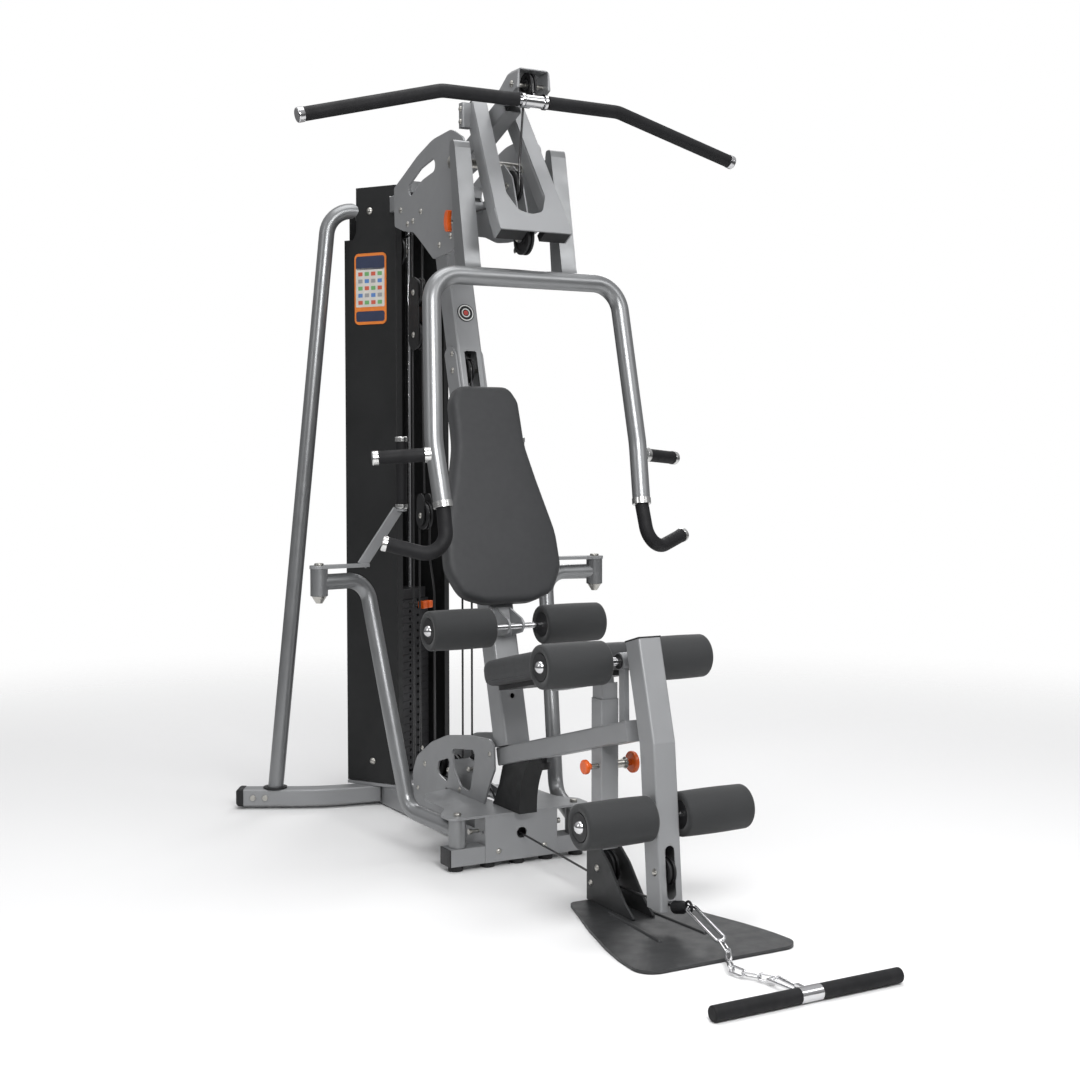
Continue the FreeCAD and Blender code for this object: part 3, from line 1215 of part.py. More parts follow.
def seat():
    """Seat pad drawn flat, then tilted up to the front about its rear edge."""
    outline = [(-156, 0), (-112, -SEAT_LENGTH), (112, -SEAT_LENGTH), (156, 0)]
    pad = plate_xy(outline, [34, 46, 46, 34], -SEAT_THICK / 2, SEAT_THICK / 2)
    pad = pad.makeFillet(24, [e for e in pad.Edges if abs(e.CenterOfMass.z) > SEAT_THICK / 2 - 1])
    board = plate_xy([(-118, -24), (-88, 30 - SEAT_LENGTH), (88, 30 - SEAT_LENGTH), (118, -24)],
                     [20] * 4, -SEAT_THICK / 2 - 12.2, -SEAT_THICK / 2 - 0.2)
    rail = block(-22, 22, -SEAT_LENGTH + 6, -150, -SEAT_THICK / 2 - 30, -SEAT_THICK / 2 - 12.3)
    placed = []
    for shape in (pad, board, rail):
        shape.rotate(V(0, 0, 0), X_AXIS, -SEAT_TILT)
        shape.translate(V(0, *SEAT_REAR))
        placed.append(shape)
    add("seat_pad", [placed[0]])
    add("seat_post", [placed[1]])
    half = COLUMN_HALF - 2.9
    post = block(-half, half, COLUMN_Y - half, COLUMN_Y + half, 384, 640)
    rail = placed[2]
    above = block(-60, 60, -SEAT_LENGTH - 60, 60, -SEAT_THICK / 2 - 30.1, 200)
    above.rotate(V(0, 0, 0), X_AXIS, -SEAT_TILT)
    above.translate(V(0, *SEAT_REAR))
    add("seat_post", [post.cut(above), rail])


PAD_THICK = 52.0
PAD_GAP = 10.0                  # between the pad's back and the mast
PAD_LOW = 688.0                 # height of the pad's lower edge, measured along the mast
PAD_HIGH = 1290.0


def back_pad():
    """Bottle shaped pad, drawn upright in XZ and leaned back with the mast."""
    height = (PAD_HIGH - PAD_LOW) * math.hypot(1, MAST_LEAN)
    half_outline = [(70, 0), (140, 22), (178, 96), (174, 196), (132, 350), (108, 450),
                    (106, height - 46), (80, height)]
    outline = half_outline + [(-x, z) for x, z in half_outline[::-1]]
    radii = [90, 60, 70, 200, 400, 260, 44, 36]
    radii = radii + radii[::-1]
    points = [V(x, 0, z) for x, z in outline]
    wire = Part.Wire(rounded_edges(points, radii, True))
    pad = Part.Face(wire).extrude(V(0, PAD_THICK, 0))
    rims = [e for e in pad.Edges if abs(e.CenterOfMass.y) < 0.1 or abs(e.CenterOfMass.y - PAD_THICK) < 0.1]
    pad = pad.makeFillet(15, rims)
    board = block(-58, 58, PAD_THICK + 0.2, PAD_THICK + 7, 70, height - 90)
    lean = -math.degrees(math.atan(MAST_LEAN))
    depth = V(0, 1, -MAST_LEAN).normalize()
    corner = V(0, mast_front(PAD_LOW), PAD_LOW) - depth * (PAD_THICK + PAD_GAP)
    shapes = []
    for shape in (pad, board):
        shape.rotate(V(0, 0, 0), X_AXIS, lean)
        shape.translate(corner)
        shapes.append(shape)
    add("back_pad", [shapes[0]])
    add("back_pad_board", [shapes[1]])
    for z in (1010, 1190):
        start = V(0, mast_front(z) - 4, z)
        add("back_pad_board", [rod(start, start + Y_AXIS * 40, 6.6).cut(shapes[1])])


# ---------------------------------------------------------------- cable arms
ARM_PATH = (V(-ARM_PIVOT_X, 6, 106), V(-234, 195, 130), V(-289, 358, 757), V(-440, 325, 757))
HEAD_AXIS = V(-440, 325, 757)
GRIP_FOOT = V(-188, 335, 956)


def swing_arm():
    """Left fly arm: a bent tube between two upright barrels; the right one is its mirror image."""
    barrel = Part.makeCylinder(24, BASE_TOP - LIP_Z - 1.0, V(-ARM_PIVOT_X, 0, LIP_Z + 0.5))
    bar = tube(list(ARM_PATH), [0, 66, 60, 0], 22)
    head = Part.makeCylinder(24, 74, HEAD_AXIS - Z_AXIS * 37)
    solid = fused([barrel, bar.cut(barrel).cut(head), head])
    lower_bore = Part.makeCylinder(6.08, 120, V(-ARM_PIVOT_X, 0, 50))
    upper_bore = Part.makeCylinder(7.08, 120, HEAD_AXIS - Z_AXIS * 60)
    solid = cut(solid, [lower_bore, upper_bore])
    add("swing_arm_left", [solid])
    add("swing_arm_right", [mirror_x(solid)])


def forearm():
    """Plate hung on the arm's upper barrel, a flat bar and the seat of the upright hand grip."""
    inward = (V(-300, 338, 0) - V(HEAD_AXIS.x, HEAD_AXIS.y, 0)).normalize()
    side = V(-inward.y, inward.x, 0)
    corners = [(-26, -24), (150, -16), (150, 16), (-26, 24)]
    top = HEAD_AXIS + Z_AXIS * 37.5
    points = [top + inward * a + side * b for a, b in corners]
    ear = Part.Face(Part.Wire(rounded_edges(points, [22, 4, 4, 22], True))).extrude(V(0, 0, 9))
    low = HEAD_AXIS + inward * 132 + Z_AXIS * 42
    high = GRIP_FOOT + V(-12, 0, -4)
    along = (high - low).normalize()
    across = V(along.z, 0, -along.x).normalize()
    corners = [(-15, -3), (15, -3), (15, 3), (-15, 3)]
    normal = along.cross(across).normalize()
    points = [low + across * a + normal * b for a, b in corners]
    bar = Part.Face(Part.Wire(rounded_edges(points, [2] * 4, True))).extrude(high - low)
    tab = Part.makeCylinder(15, 6, GRIP_FOOT - Z_AXIS * 8)
    pin_bore = Part.makeCylinder(7.0, 200, HEAD_AXIS - Z_AXIS * 100)
    bracket = fused([ear, bar, tab]).cut(pin_bore)
    pivot = Part.makeCylinder(7.0, 84.2, HEAD_AXIS - Z_AXIS * 37.5)
    heads = [rounded_cap(HEAD_AXIS + Z_AXIS * 46.7, Z_AXIS, 13, 6),
             Part.makeCone(21, 9, 20, HEAD_AXIS - Z_AXIS * 37.5, Z_AXIS * -1)]
    pivot = fused([pivot] + heads)
    sleeve = Part.makeCylinder(16, 176, GRIP_FOOT + Z_AXIS * 12)
    low_cap = rounded_cap(GRIP_FOOT + Z_AXIS * 11.9, Z_AXIS * -1, 17.5, 13)
    high_cap = rounded_cap(GRIP_FOOT + Z_AXIS * 188.1, Z_AXIS, 17.5, 14)
    for shape in (bracket, pivot):
        add("forearm_left", [shape])
        add("forearm_right", [mirror_x(shape)])
    for shape in (sleeve, low_cap, high_cap):
        add("hand_grip_left", [shape])
        add("hand_grip_right", [mirror_x(shape)])


def arm_pins():
    pin = x_rod(12, ARM_PIN_Z, 104, 132, 4.5)
    head = x_rod(12, ARM_PIN_Z, 132, 140, 7.5)
    solid = fused([pin, head])
    add("arm_pin_left", [mirror_x(solid)])
    add("arm_pin_right", [solid])


# ---------------------------------------------------------------- fasteners and caps
def pivot_bolts():
    bolts = []
    for x in (-ARM_PIVOT_X, ARM_PIVOT_X):
        shank = Part.makeCylinder(6, BASE_TOP + PLATE + 0.2 - LIP_Z + 12, V(x, 0, LIP_Z - 12))
        head = Part.makeCylinder(10.5, 8, V(x, 0, BASE_TOP + PLATE + 0.1))
        rims = [e for e in head.Edges if e.CenterOfMass.z > BASE_TOP + PLATE + 7]
        bolts.append(fused([shank, head.makeFillet(3.5, rims)]))
    add("frame_hardware", bolts)


def frame_bolts():
    bolts = []
    fan = FAN_X + PLATE + 0.05
    for y, z in ((487, 1814), (349, 1792), (440, 1768), (403, 1772), (158, 1700), (228, 1684)):
        for side in (-1, 1):
            bolts.append(dome_x(y, z, fan, side, 8.5, 5))
    plates = SIDE_PLATE_X + PLATE + 0.05
    for y, z in ((500, 235), (534, 110), (62, 290), (250, 157)):
        for side in (-1, 1):
            bolts.append(dome_x(y, z, plates, side, 7.5, 4.5))
    gusset = MAST_HALF + 6.05
    for z in (1170, 1250, 1392):
        for side in (-1, 1):
            bolts.append(dome_x(mast_front(z) + 30, z, gusset, side, 7.5, 4.5))
    foot = COLUMN_HALF + 6.15
    for y, z in ((-446, 160), (-446, 54)):
        for side in (-1, 1):
            bolts.append(dome_x(y, z, foot, side, 8, 5))
    for x, z in ((-70, 44), (70, 44)):
        head = dome_x(0, 0, 0, 1, 8, 4.5)
        head.rotate(V(0, 0, 0), Z_AXIS, -90)
        head.translate(V(x, -30.05, z))
        bolts.append(head)
    add("frame_hardware", bolts)


def tube_caps():
    """Black end caps of the base lips, the levelling feet and the plate on the beam's end."""
    caps = []
    for side in (-1, 1):
        near, far = sorted((side * LIP_HALF, side * (LIP_HALF + 4)))
        caps.append(block(near, far, -28, 30, BASE_LOW, LIP_Z))
    for x in (-185, -90, 0, 90, 185):
        caps.append(Part.makeCylinder(20, BASE_LOW - 0.1, V(x, 0, 0)))
    add("frame_caps", caps)
    direction = V(0, BEAM_FRONT[0] - BEAM_REAR[0], BEAM_FRONT[1] - BEAM_REAR[1]).normalize()
    start = V(0, *BEAM_FRONT) + direction * 0.1
    end = start + direction * 4
    front = plate_yz(strip([(start.y, start.z), (end.y, end.z)], BEAM_DEPTH), [0] * 4,
                     -BEAM_HALF, BEAM_HALF)
    add("seat_frame", [front])


def build_all():
    base_front_box()
    base_top_plate()
    base_spine()
    base_side_plates()
    base_pulley_axles()
    base_pulley_cheeks()
    mast_pedestal()
    rubber_stop()
    rear_foot_beam()
    rear_brace_tube()
    mast()
    mast_side_gussets()
    seat_beam()
    front_column()
    column_foot()
    foot_plate()
    knee_support()
    fan_plates()
    mast_head_spacers()
    head_legs()
    head_front_plate()
    head_boom()
    hood()
    head_pulley_bracket()
    press_axle()
    tower_bridge()
    tower_base()
    tower_crown()
    shrouds()
    shroud_bolts()
    placard()
    badge()
    guide_rods()
    weight_stack()
    lifted_weights()
    lat_cable()
    row_cable()
    block_cable()
    floating_blocks()
    fixed_pulleys()
    press_arm()
    press_pin()
    lat_bar()
    low_bar()
    row_chain()
    leg_arm()
    rollers()
    hold_bracket()
    pull_pins()
    seat()
    back_pad()
    swing_arm()
    forearm()
    arm_pins()
    pivot_bolts()
    frame_bolts()
    tube_caps()


build_all()
write_nodes()
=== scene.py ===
import json
import math

import bmesh
import bpy
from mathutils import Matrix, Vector
from mathutils.bvhtree import BVHTree


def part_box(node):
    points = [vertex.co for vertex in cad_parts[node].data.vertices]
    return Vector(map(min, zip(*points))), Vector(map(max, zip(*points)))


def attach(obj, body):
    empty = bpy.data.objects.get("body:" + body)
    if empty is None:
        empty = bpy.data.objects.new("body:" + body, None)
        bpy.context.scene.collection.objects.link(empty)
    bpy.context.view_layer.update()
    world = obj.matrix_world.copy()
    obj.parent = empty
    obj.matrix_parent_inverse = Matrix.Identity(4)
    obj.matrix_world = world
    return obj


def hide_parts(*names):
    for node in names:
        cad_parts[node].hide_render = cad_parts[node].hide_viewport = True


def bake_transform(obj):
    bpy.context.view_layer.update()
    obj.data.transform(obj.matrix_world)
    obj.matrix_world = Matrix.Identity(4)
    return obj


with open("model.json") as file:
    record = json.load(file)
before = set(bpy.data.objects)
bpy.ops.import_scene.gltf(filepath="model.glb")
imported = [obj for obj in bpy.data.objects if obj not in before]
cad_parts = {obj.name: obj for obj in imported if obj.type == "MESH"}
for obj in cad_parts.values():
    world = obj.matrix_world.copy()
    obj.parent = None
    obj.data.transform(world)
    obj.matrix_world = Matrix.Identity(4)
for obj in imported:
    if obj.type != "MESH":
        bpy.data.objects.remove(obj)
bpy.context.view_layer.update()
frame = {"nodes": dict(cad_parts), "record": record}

NODES = frame["nodes"]

# ---------------------------------------------------------------- driving values
# Camera: place in metres, angles in degrees, lens and sensor in millimetres.
CAMERA_PLACE = (-1.992, -3.725, 1.107)
CAMERA_TURN = 29.0              # to the right of +Y
CAMERA_DIP = 3.11               # below the horizon
CAMERA_REACH = 60.0
LENS = 52.33
SENSOR = 36.0

FLOOR_REACH = 30.0              # from the middle to each side of the floor
FLOOR_LEVEL = -0.0005           # a hair under the feet of the machine
FLOOR_GREY = 0.78
FLOOR_FADE = (1.8, 5.0)         # the floor dissolves into the backdrop between these distances

# Area lights: name, place, aim, size and power.
LIGHTS = (
    ("key", (-0.9, -2.9, 2.3), (0.0, -0.3, 0.8), (1.3, 1.1), 76),
    ("side", (2.4, -3.8, 3.6), (0.0, 0.2, 1.2), (2.0, 1.6), 36),
    ("fill", (-4.6, -0.6, 3.2), (0.0, 0.2, 1.3), (1.6, 2.6), 26),
    ("rim", (2.6, 3.6, 3.6), (0.0, 0.3, 1.2), (1.6, 2.0), 45),
    ("top", (0.0, 0.0, 4.6), (0.0, 0.2, 0.0), (3.0, 3.0), 85),
)
# What the metal reflects: share of the way from straight down to straight up, and colour there.
SURROUNDINGS = ((0.42, (0.10, 0.10, 0.102)), (0.95, (0.72, 0.72, 0.73)))
BACKDROP = (1.0, 1.0, 1.0)

ACROSS = Vector((1, 0, 0))      # the machine's width
SEAT_TILT = 12.0                # degrees that the seat pad leans back
MAST_FACE = (0, -1, 0.2665)     # direction square to the leaning mast, forward
TOWER_START = 0.6               # the placard lies behind this Y, the badge before it

PAD_VOXEL = 0.005               # grid of the pads' remesh
PAD_CROWN = 0.006               # how far the middle of a pad bulges
PAD_SHRINK = 0.985              # pad outline against its CAD solid
PAD_HEIGHT = 0.94               # pad thickness against its CAD solid, before it bulges
PAD_GAP = 0.0002                # least distance from a pad to its board
SEAM_HEIGHT = 0.013             # piping above the pad's back
SEAM_RADIUS = 0.0017
SEAM_STEPS = 160
SEAM_REACH = 0.6                # rays that find the outline start this far out

ROLLER_BORE = 0.0135
ROLLER_DISH = 0.034             # radius of the sunken ring round the hub
DISH_DEPTHS = (0.004, 0.005)    # at the roller's inner end and at its outer end
DISH_LIP = (0.001, 0.002)       # the ring's wall ends this deep and this much wider
ROLLER_RIM = 0.007              # rounding of the rims
ROLLER_SWELL = 0.0012           # extra radius half way along
ROLLER_STEPS = 14               # rings along the length
RIM_STEPS = 8                   # rings round a rim
ROUND_STEPS = 96                # points round a roller

CABLE_RADIUS = 0.003
SPAN_SHARE = 0.97               # a stretched length is a little thinner than the wire it meets
SPAN_STEPS = 48

PLACARD_TURN = 32.9             # degrees from -X towards -Y that the placard faces
PLACARD_WIDTH = 0.118
PLACARD_MARGIN = 0.012          # both margins together
PRINT_THICKNESS = 0.0004
PANEL_LIFT = 0.0002             # panels stand this far off the plate
BLOCK_LIFT = 0.0008             # blocks stand this far off the plate, clear of the panel
BLOCK_ROWS, BLOCK_COLUMNS = 5, 4
BLOCK_STEP = (0.024, 0.022)     # across and down
BLOCK_SIZE = (0.016, 0.012)
BLOCK_TOP = 0.046               # top row above the placard's middle
BLOCK_CORNER = 0.001
CORNER_STEPS = 6                # edges in the rounded corner of a print
BADGE_LIFT = 0.0005
BADGE_THICKNESS = 0.0003
BADGE_STEPS = 64
PINHOLE = 0.00001               # hole of a full disc, which is built as a ring


def new_object(name, data):
    piece = bpy.data.objects.new(name, data)
    bpy.context.scene.collection.objects.link(piece)
    return piece


# ---------------------------------------------------------------- camera, floor, light
def make_camera():
    data = bpy.data.cameras.new("camera")
    data.lens = LENS
    data.sensor_width = SENSOR
    data.clip_end = CAMERA_REACH
    camera = new_object("camera", data)
    camera.location = CAMERA_PLACE
    camera.rotation_euler = (math.radians(90.0 - CAMERA_DIP), 0.0, math.radians(-CAMERA_TURN))
    bpy.context.scene.camera = camera


def make_floor():
    mesh = bpy.data.meshes.new("floor")
    corners = [(-1, -1), (1, -1), (1, 1), (-1, 1)]
    mesh.from_pydata([(x * FLOOR_REACH, y * FLOOR_REACH, FLOOR_LEVEL) for x, y in corners],
                     [], [(0, 1, 2, 3)])
    floor = new_object("floor", mesh)
    material = bpy.data.materials.new("floor")
    material.use_nodes = True
    shader = material.node_tree.nodes["Principled BSDF"]
    shader.inputs["Base Color"].default_value = (FLOOR_GREY, FLOOR_GREY, FLOOR_GREY, 1)
    shader.inputs["Roughness"].default_value = 0.75
    shader.inputs["Specular IOR Level"].default_value = 0.2
    fade_out(material, shader)
    mesh.materials.append(material)


def fade_out(material, shader):
    """Lets the far floor dissolve into the backdrop."""
    nodes, links = material.node_tree.nodes, material.node_tree.links
    place = nodes.new("ShaderNodeTexCoord")
    reach = nodes.new("ShaderNodeVectorMath")
    reach.operation = "LENGTH"
    share = nodes.new("ShaderNodeMapRange")
    share.interpolation_type = "SMOOTHSTEP"
    share.inputs["From Min"].default_value, share.inputs["From Max"].default_value = FLOOR_FADE
    clear = nodes.new("ShaderNodeBsdfTransparent")
    mix = nodes.new("ShaderNodeMixShader")
    links.new(place.outputs["Object"], reach.inputs[0])
    links.new(reach.outputs["Value"], share.inputs["Value"])
    links.new(share.outputs[0], mix.inputs[0])
    links.new(shader.outputs[0], mix.inputs[1])
    links.new(clear.outputs[0], mix.inputs[2])
    links.new(mix.outputs[0], nodes["Material Output"].inputs["Surface"])


def area_light(name, place, aim, size, power):
    data = bpy.data.lights.new(name, "AREA")
    data.shape = "RECTANGLE"
    data.size, data.size_y = size
    data.energy = power
    light = new_object(name, data)
    light.location = place
    light.visible_camera = False
    direction = Vector(aim) - Vector(place)
    light.rotation_euler = direction.to_track_quat("-Z", "Y").to_euler()


def make_light():
    for values in LIGHTS:
        area_light(*values)
    make_surroundings()
    bpy.context.scene.view_settings.view_transform = "Standard"


def make_surroundings():
    """Metal sees a grey room that is lighter above, the camera sees a plain white backdrop."""
    world = bpy.data.worlds.new("studio")
    bpy.context.scene.world = world
    world.use_nodes = True
    nodes, links = world.node_tree.nodes, world.node_tree.links
    place = nodes.new("ShaderNodeTexCoord")
    split = nodes.new("ShaderNodeSeparateXYZ")
    ramp = nodes.new("ShaderNodeValToRGB")
    for element, (position, colour) in zip(ramp.color_ramp.elements, SURROUNDINGS):
        element.position = position
        element.color = (*colour, 1)
    share = nodes.new("ShaderNodeMath")     # a height from -1 to 1 becomes a share from 0 to 1
    share.operation = "MULTIPLY_ADD"
    share.inputs[1].default_value = 0.5
    share.inputs[2].default_value = 0.5
    seen = nodes.new("ShaderNodeLightPath")
    pale = nodes.new("ShaderNodeMix")
    pale.data_type = "RGBA"
    pale.inputs["B"].default_value = (*BACKDROP, 1)
    links.new(place.outputs["Generated"], split.inputs[0])
    links.new(split.outputs["Z"], share.inputs[0])
    links.new(share.outputs[0], ramp.inputs[0])
    links.new(seen.outputs["Is Camera Ray"], pale.inputs["Factor"])
    links.new(ramp.outputs[0], pale.inputs["A"])
    links.new(pale.outputs["Result"], nodes["Background"].inputs[0])


# ---------------------------------------------------------------- procedural finishes
class Finish:
    """One procedural material: a base shader, and helpers that add grain, variation and wear."""

    def __init__(self, name, colour, roughness, metallic=0.0):
        self.material = bpy.data.materials.new(name)
        self.material.use_nodes = True
        self.nodes = self.material.node_tree.nodes
        self.links = self.material.node_tree.links
        self.shader = self.nodes["Principled BSDF"]
        self.colour = colour
        self.roughness = roughness
        self.shader.inputs["Base Color"].default_value = (*colour, 1)
        self.shader.inputs["Roughness"].default_value = roughness
        self.shader.inputs["Metallic"].default_value = metallic
        self.place = self.add("ShaderNodeTexCoord").outputs["Object"]
        self.normal = None
        self.tint = None

    def add(self, kind, **values):
        node = self.nodes.new(kind)
        for key, value in values.items():
            setattr(node, key, value)
        return node

    def noise(self, scale, detail, stretch=(1, 1, 1)):
        stretched = self.add("ShaderNodeMapping")
        stretched.inputs["Scale"].default_value = stretch
        self.links.new(self.place, stretched.inputs["Vector"])
        noise = self.add("ShaderNodeTexNoise")
        noise.inputs["Scale"].default_value = scale
        noise.inputs["Detail"].default_value = detail
        self.links.new(stretched.outputs[0], noise.inputs["Vector"])
        return noise.outputs["Fac"]

    def cells(self, scale, feature="F1"):
        voronoi = self.add("ShaderNodeTexVoronoi", feature=feature)
        voronoi.inputs["Scale"].default_value = scale
        self.links.new(self.place, voronoi.inputs["Vector"])
        return voronoi.outputs["Distance"]

    def ramp(self, factor, low, high, start=0.35, end=0.65):
        """Grey values or colours from low to high, between two values of the factor."""
        ramp = self.add("ShaderNodeValToRGB")
        for element, position, value in zip(ramp.color_ramp.elements, (start, end), (low, high)):
            element.position = position
            element.color = (*value, 1) if isinstance(value, tuple) else (value, value, value, 1)
        self.links.new(factor, ramp.inputs[0])
        return ramp.outputs[0]

    def vary_colour(self, factor, amount):
        """Lightens and darkens the base colour by a share of itself."""
        low = tuple(c * (1 - amount) for c in self.colour)
        high = tuple(min(1.0, c * (1 + amount)) for c in self.colour)
        self.tint = self.ramp(factor, low, high)
        self.links.new(self.tint, self.shader.inputs["Base Color"])

    def vary_roughness(self, factor, amount):
        low, high = self.roughness - amount, self.roughness + amount
        self.links.new(self.ramp(factor, low, high), self.shader.inputs["Roughness"])

    def bump(self, height, strength, distance):
        """Adds a layer of relief to those before it."""
        bump = self.add("ShaderNodeBump")
        bump.inputs["Strength"].default_value = strength
        bump.inputs["Distance"].default_value = distance
        self.links.new(height, bump.inputs["Height"])
        if self.normal:
            self.links.new(self.normal, bump.inputs["Normal"])
        self.normal = bump.outputs[0]
        self.links.new(self.normal, self.shader.inputs["Normal"])

    def soft_edges(self, radius):
        """Rounds the look of sharp edges."""
        bevel = self.add("ShaderNodeBevel", samples=4)
        bevel.inputs["Radius"].default_value = radius
        self.normal = bevel.outputs[0]
        self.links.new(self.normal, self.shader.inputs["Normal"])

    def worn_edges(self, radius, colour, reach):
        """Paint rubbed through to a lighter tone along the outer edges, broken up by noise."""
        bevel = self.add("ShaderNodeBevel", samples=4)
        bevel.inputs["Radius"].default_value = radius
        geometry = self.add("ShaderNodeNewGeometry")
        compare = self.add("ShaderNodeVectorMath", operation="DOT_PRODUCT")
        self.links.new(bevel.outputs[0], compare.inputs[0])
        self.links.new(geometry.outputs["Normal"], compare.inputs[1])
        edge = self.ramp(compare.outputs["Value"], 1.0, 0.0, 0.80, 0.97)
        patchy = self.ramp(self.noise(60, 4), 0.0, 1.0, 0.5, 0.62)
        mask = self.add("ShaderNodeMath", operation="MULTIPLY")
        self.links.new(edge, mask.inputs[0])
        self.links.new(patchy, mask.inputs[1])
        share = self.add("ShaderNodeMath", operation="MULTIPLY")
        share.inputs[1].default_value = reach
        self.links.new(mask.outputs[0], share.inputs[0])
        mix = self.add("ShaderNodeMix", data_type="RGBA")
        mix.inputs["B"].default_value = (*colour, 1)
        self.links.new(self.tint, mix.inputs["A"])
        self.links.new(share.outputs[0], mix.inputs["Factor"])
        self.links.new(mix.outputs["Result"], self.shader.inputs["Base Color"])


def silver_paint(name, colour, roughness, metallic, wear):
    """Powder coated steel with fine metal flake; with wear, its sharp edges are rubbed light."""
    look = Finish(name, colour, roughness, metallic)
    look.vary_colour(look.noise(5.0, 4), 0.04)
    look.vary_roughness(look.noise(22.0, 5), 0.04)
    if wear:
        look.soft_edges(0.0016)
        look.worn_edges(0.0022, tuple(min(1.0, c * 1.35) for c in colour), wear)
    look.bump(look.noise(1400.0, 2), 0.02 + 0.1 * wear, 0.0004)
    return look.material


def dark_paint(name, colour, roughness):
    """Textured dark powder coat."""
    look = Finish(name, colour, roughness, 0.1)
    look.shader.inputs["Specular IOR Level"].default_value = 0.3
    look.vary_colour(look.noise(6.0, 4), 0.14)
    look.vary_roughness(look.noise(30.0, 5), 0.06)
    look.soft_edges(0.0014)
    look.bump(look.noise(900.0, 3), 0.22, 0.0008)
    look.worn_edges(0.002, tuple(c * 2.2 for c in colour), 0.4)
    return look.material


def vinyl():
    """Upholstery vinyl: small irregular leather cells, soft creases and a low sheen."""
    look = Finish("vinyl", (0.026, 0.027, 0.029), 0.60)
    look.vary_colour(look.noise(9.0, 5), 0.035)
    look.vary_roughness(look.noise(60.0, 4), 0.03)
    look.bump(look.cells(620.0, "DISTANCE_TO_EDGE"), 0.20, 0.0007)
    look.bump(look.noise(1600.0, 2), 0.10, 0.0003)
    look.bump(look.noise(14.0, 2), 0.03, 0.003)
    look.shader.inputs["Sheen Weight"].default_value = 0.08
    return look.material


def foam():
    """Closed cell foam with a fine open grain."""
    look = Finish("foam", (0.018, 0.019, 0.020), 0.80)
    look.vary_colour(look.noise(12.0, 5), 0.06)
    look.bump(look.cells(900.0), 0.30, 0.0006)
    look.bump(look.noise(2400.0, 2), 0.20, 0.0003)
    look.bump(look.noise(9.0, 2), 0.05, 0.003)
    look.shader.inputs["Sheen Weight"].default_value = 0.12
    return look.material


def grip_rubber():
    look = Finish("grip_rubber", (0.008, 0.008, 0.009), 0.62)
    look.shader.inputs["Specular IOR Level"].default_value = 0.25
    look.vary_colour(look.noise(14.0, 4), 0.2)
    look.vary_roughness(look.noise(45.0, 4), 0.06)
    look.bump(look.noise(1200.0, 2), 0.25, 0.0005)
    return look.material


def black_plastic():
    look = Finish("black_plastic", (0.013, 0.013, 0.014), 0.48)
    look.shader.inputs["Specular IOR Level"].default_value = 0.35
    look.vary_colour(look.noise(10.0, 4), 0.2)
    look.vary_roughness(look.noise(30.0, 4), 0.07)
    look.soft_edges(0.0012)
    look.bump(look.noise(1500.0, 2), 0.12, 0.0004)
    return look.material


def bright_metal(name, colour, roughness, scale):
    """Polished or turned metal with faint brushing, smudges and a little tarnish."""
    look = Finish(name, colour, roughness, 1.0)
    look.vary_colour(look.noise(18.0, 5), 0.03)
    look.vary_roughness(look.noise(55.0, 5), min(0.03, roughness * 0.3))
    look.soft_edges(0.0009)
    look.bump(look.noise(scale, 3, (1, 1, 4)), 0.05, 0.0003)
    return look.material


def cast_iron():
    look = Finish("weight_iron", (0.03, 0.03, 0.032), 0.55, 0.35)
    look.vary_colour(look.noise(9.0, 5), 0.3)
    look.soft_edges(0.0015)
    look.bump(look.noise(260.0, 5), 0.35, 0.0012)
    look.worn_edges(0.002, (0.16, 0.16, 0.16), 0.5)
    return look.material


def cable_coat():
    """Clear black coat over twisted wire strands."""
    look = Finish("cable_coat", (0.018, 0.018, 0.019), 0.32, 0.2)
    wave = look.add("ShaderNodeTexWave", wave_type="BANDS", bands_direction="DIAGONAL")
    wave.inputs["Scale"].default_value = 150.0
    look.links.new(look.place, wave.inputs["Vector"])
    look.vary_colour(wave.outputs["Fac"], 0.4)
    look.bump(wave.outputs["Fac"], 0.3, 0.0004)
    look.shader.inputs["Coat Weight"].default_value = 0.5
    return look.material


def orange_plastic():
    look = Finish("orange_plastic", (0.70, 0.105, 0.006), 0.40)
    look.vary_colour(look.noise(35.0, 4), 0.10)
    look.vary_roughness(look.noise(60.0, 4), 0.06)
    look.soft_edges(0.001)
    look.bump(look.noise(900.0, 2), 0.06, 0.0004)
    look.shader.inputs["Coat Weight"].default_value = 0.3
    return look.material


def printed(name, colour):
    """Printed film with a faint orange peel and slight fading."""
    look = Finish(name, colour, 0.38)
    look.vary_colour(look.noise(40.0, 3), 0.06)
    look.bump(look.noise(700.0, 2), 0.06, 0.0003)
    return look.material


LOOKS = {
    "frame_silver": silver_paint("frame_silver", (0.27, 0.275, 0.282), 0.42, 0.32, 0.35),
    "tube_silver": silver_paint("tube_silver", (0.24, 0.245, 0.25), 0.34, 0.68, 0.0),
    "cover_grey": dark_paint("cover_grey", (0.017, 0.0175, 0.018), 0.52),
    "foot_grey": dark_paint("foot_grey", (0.034, 0.035, 0.036), 0.42),
    "vinyl": vinyl(),
    "foam": foam(),
    "grip_rubber": grip_rubber(),
    "black_plastic": black_plastic(),
    "bright_metal": bright_metal("bright_metal", (0.66, 0.66, 0.65), 0.24, 800.0),
    "chrome": bright_metal("chrome", (0.62, 0.62, 0.63), 0.14, 500.0),
    "zinc": bright_metal("zinc", (0.46, 0.45, 0.42), 0.30, 900.0),
    "cable_coat": cable_coat(),
    "weight_iron": cast_iron(),
    "orange_plastic": orange_plastic(),
    "label": printed("label", (0.72, 0.20, 0.03)),
}


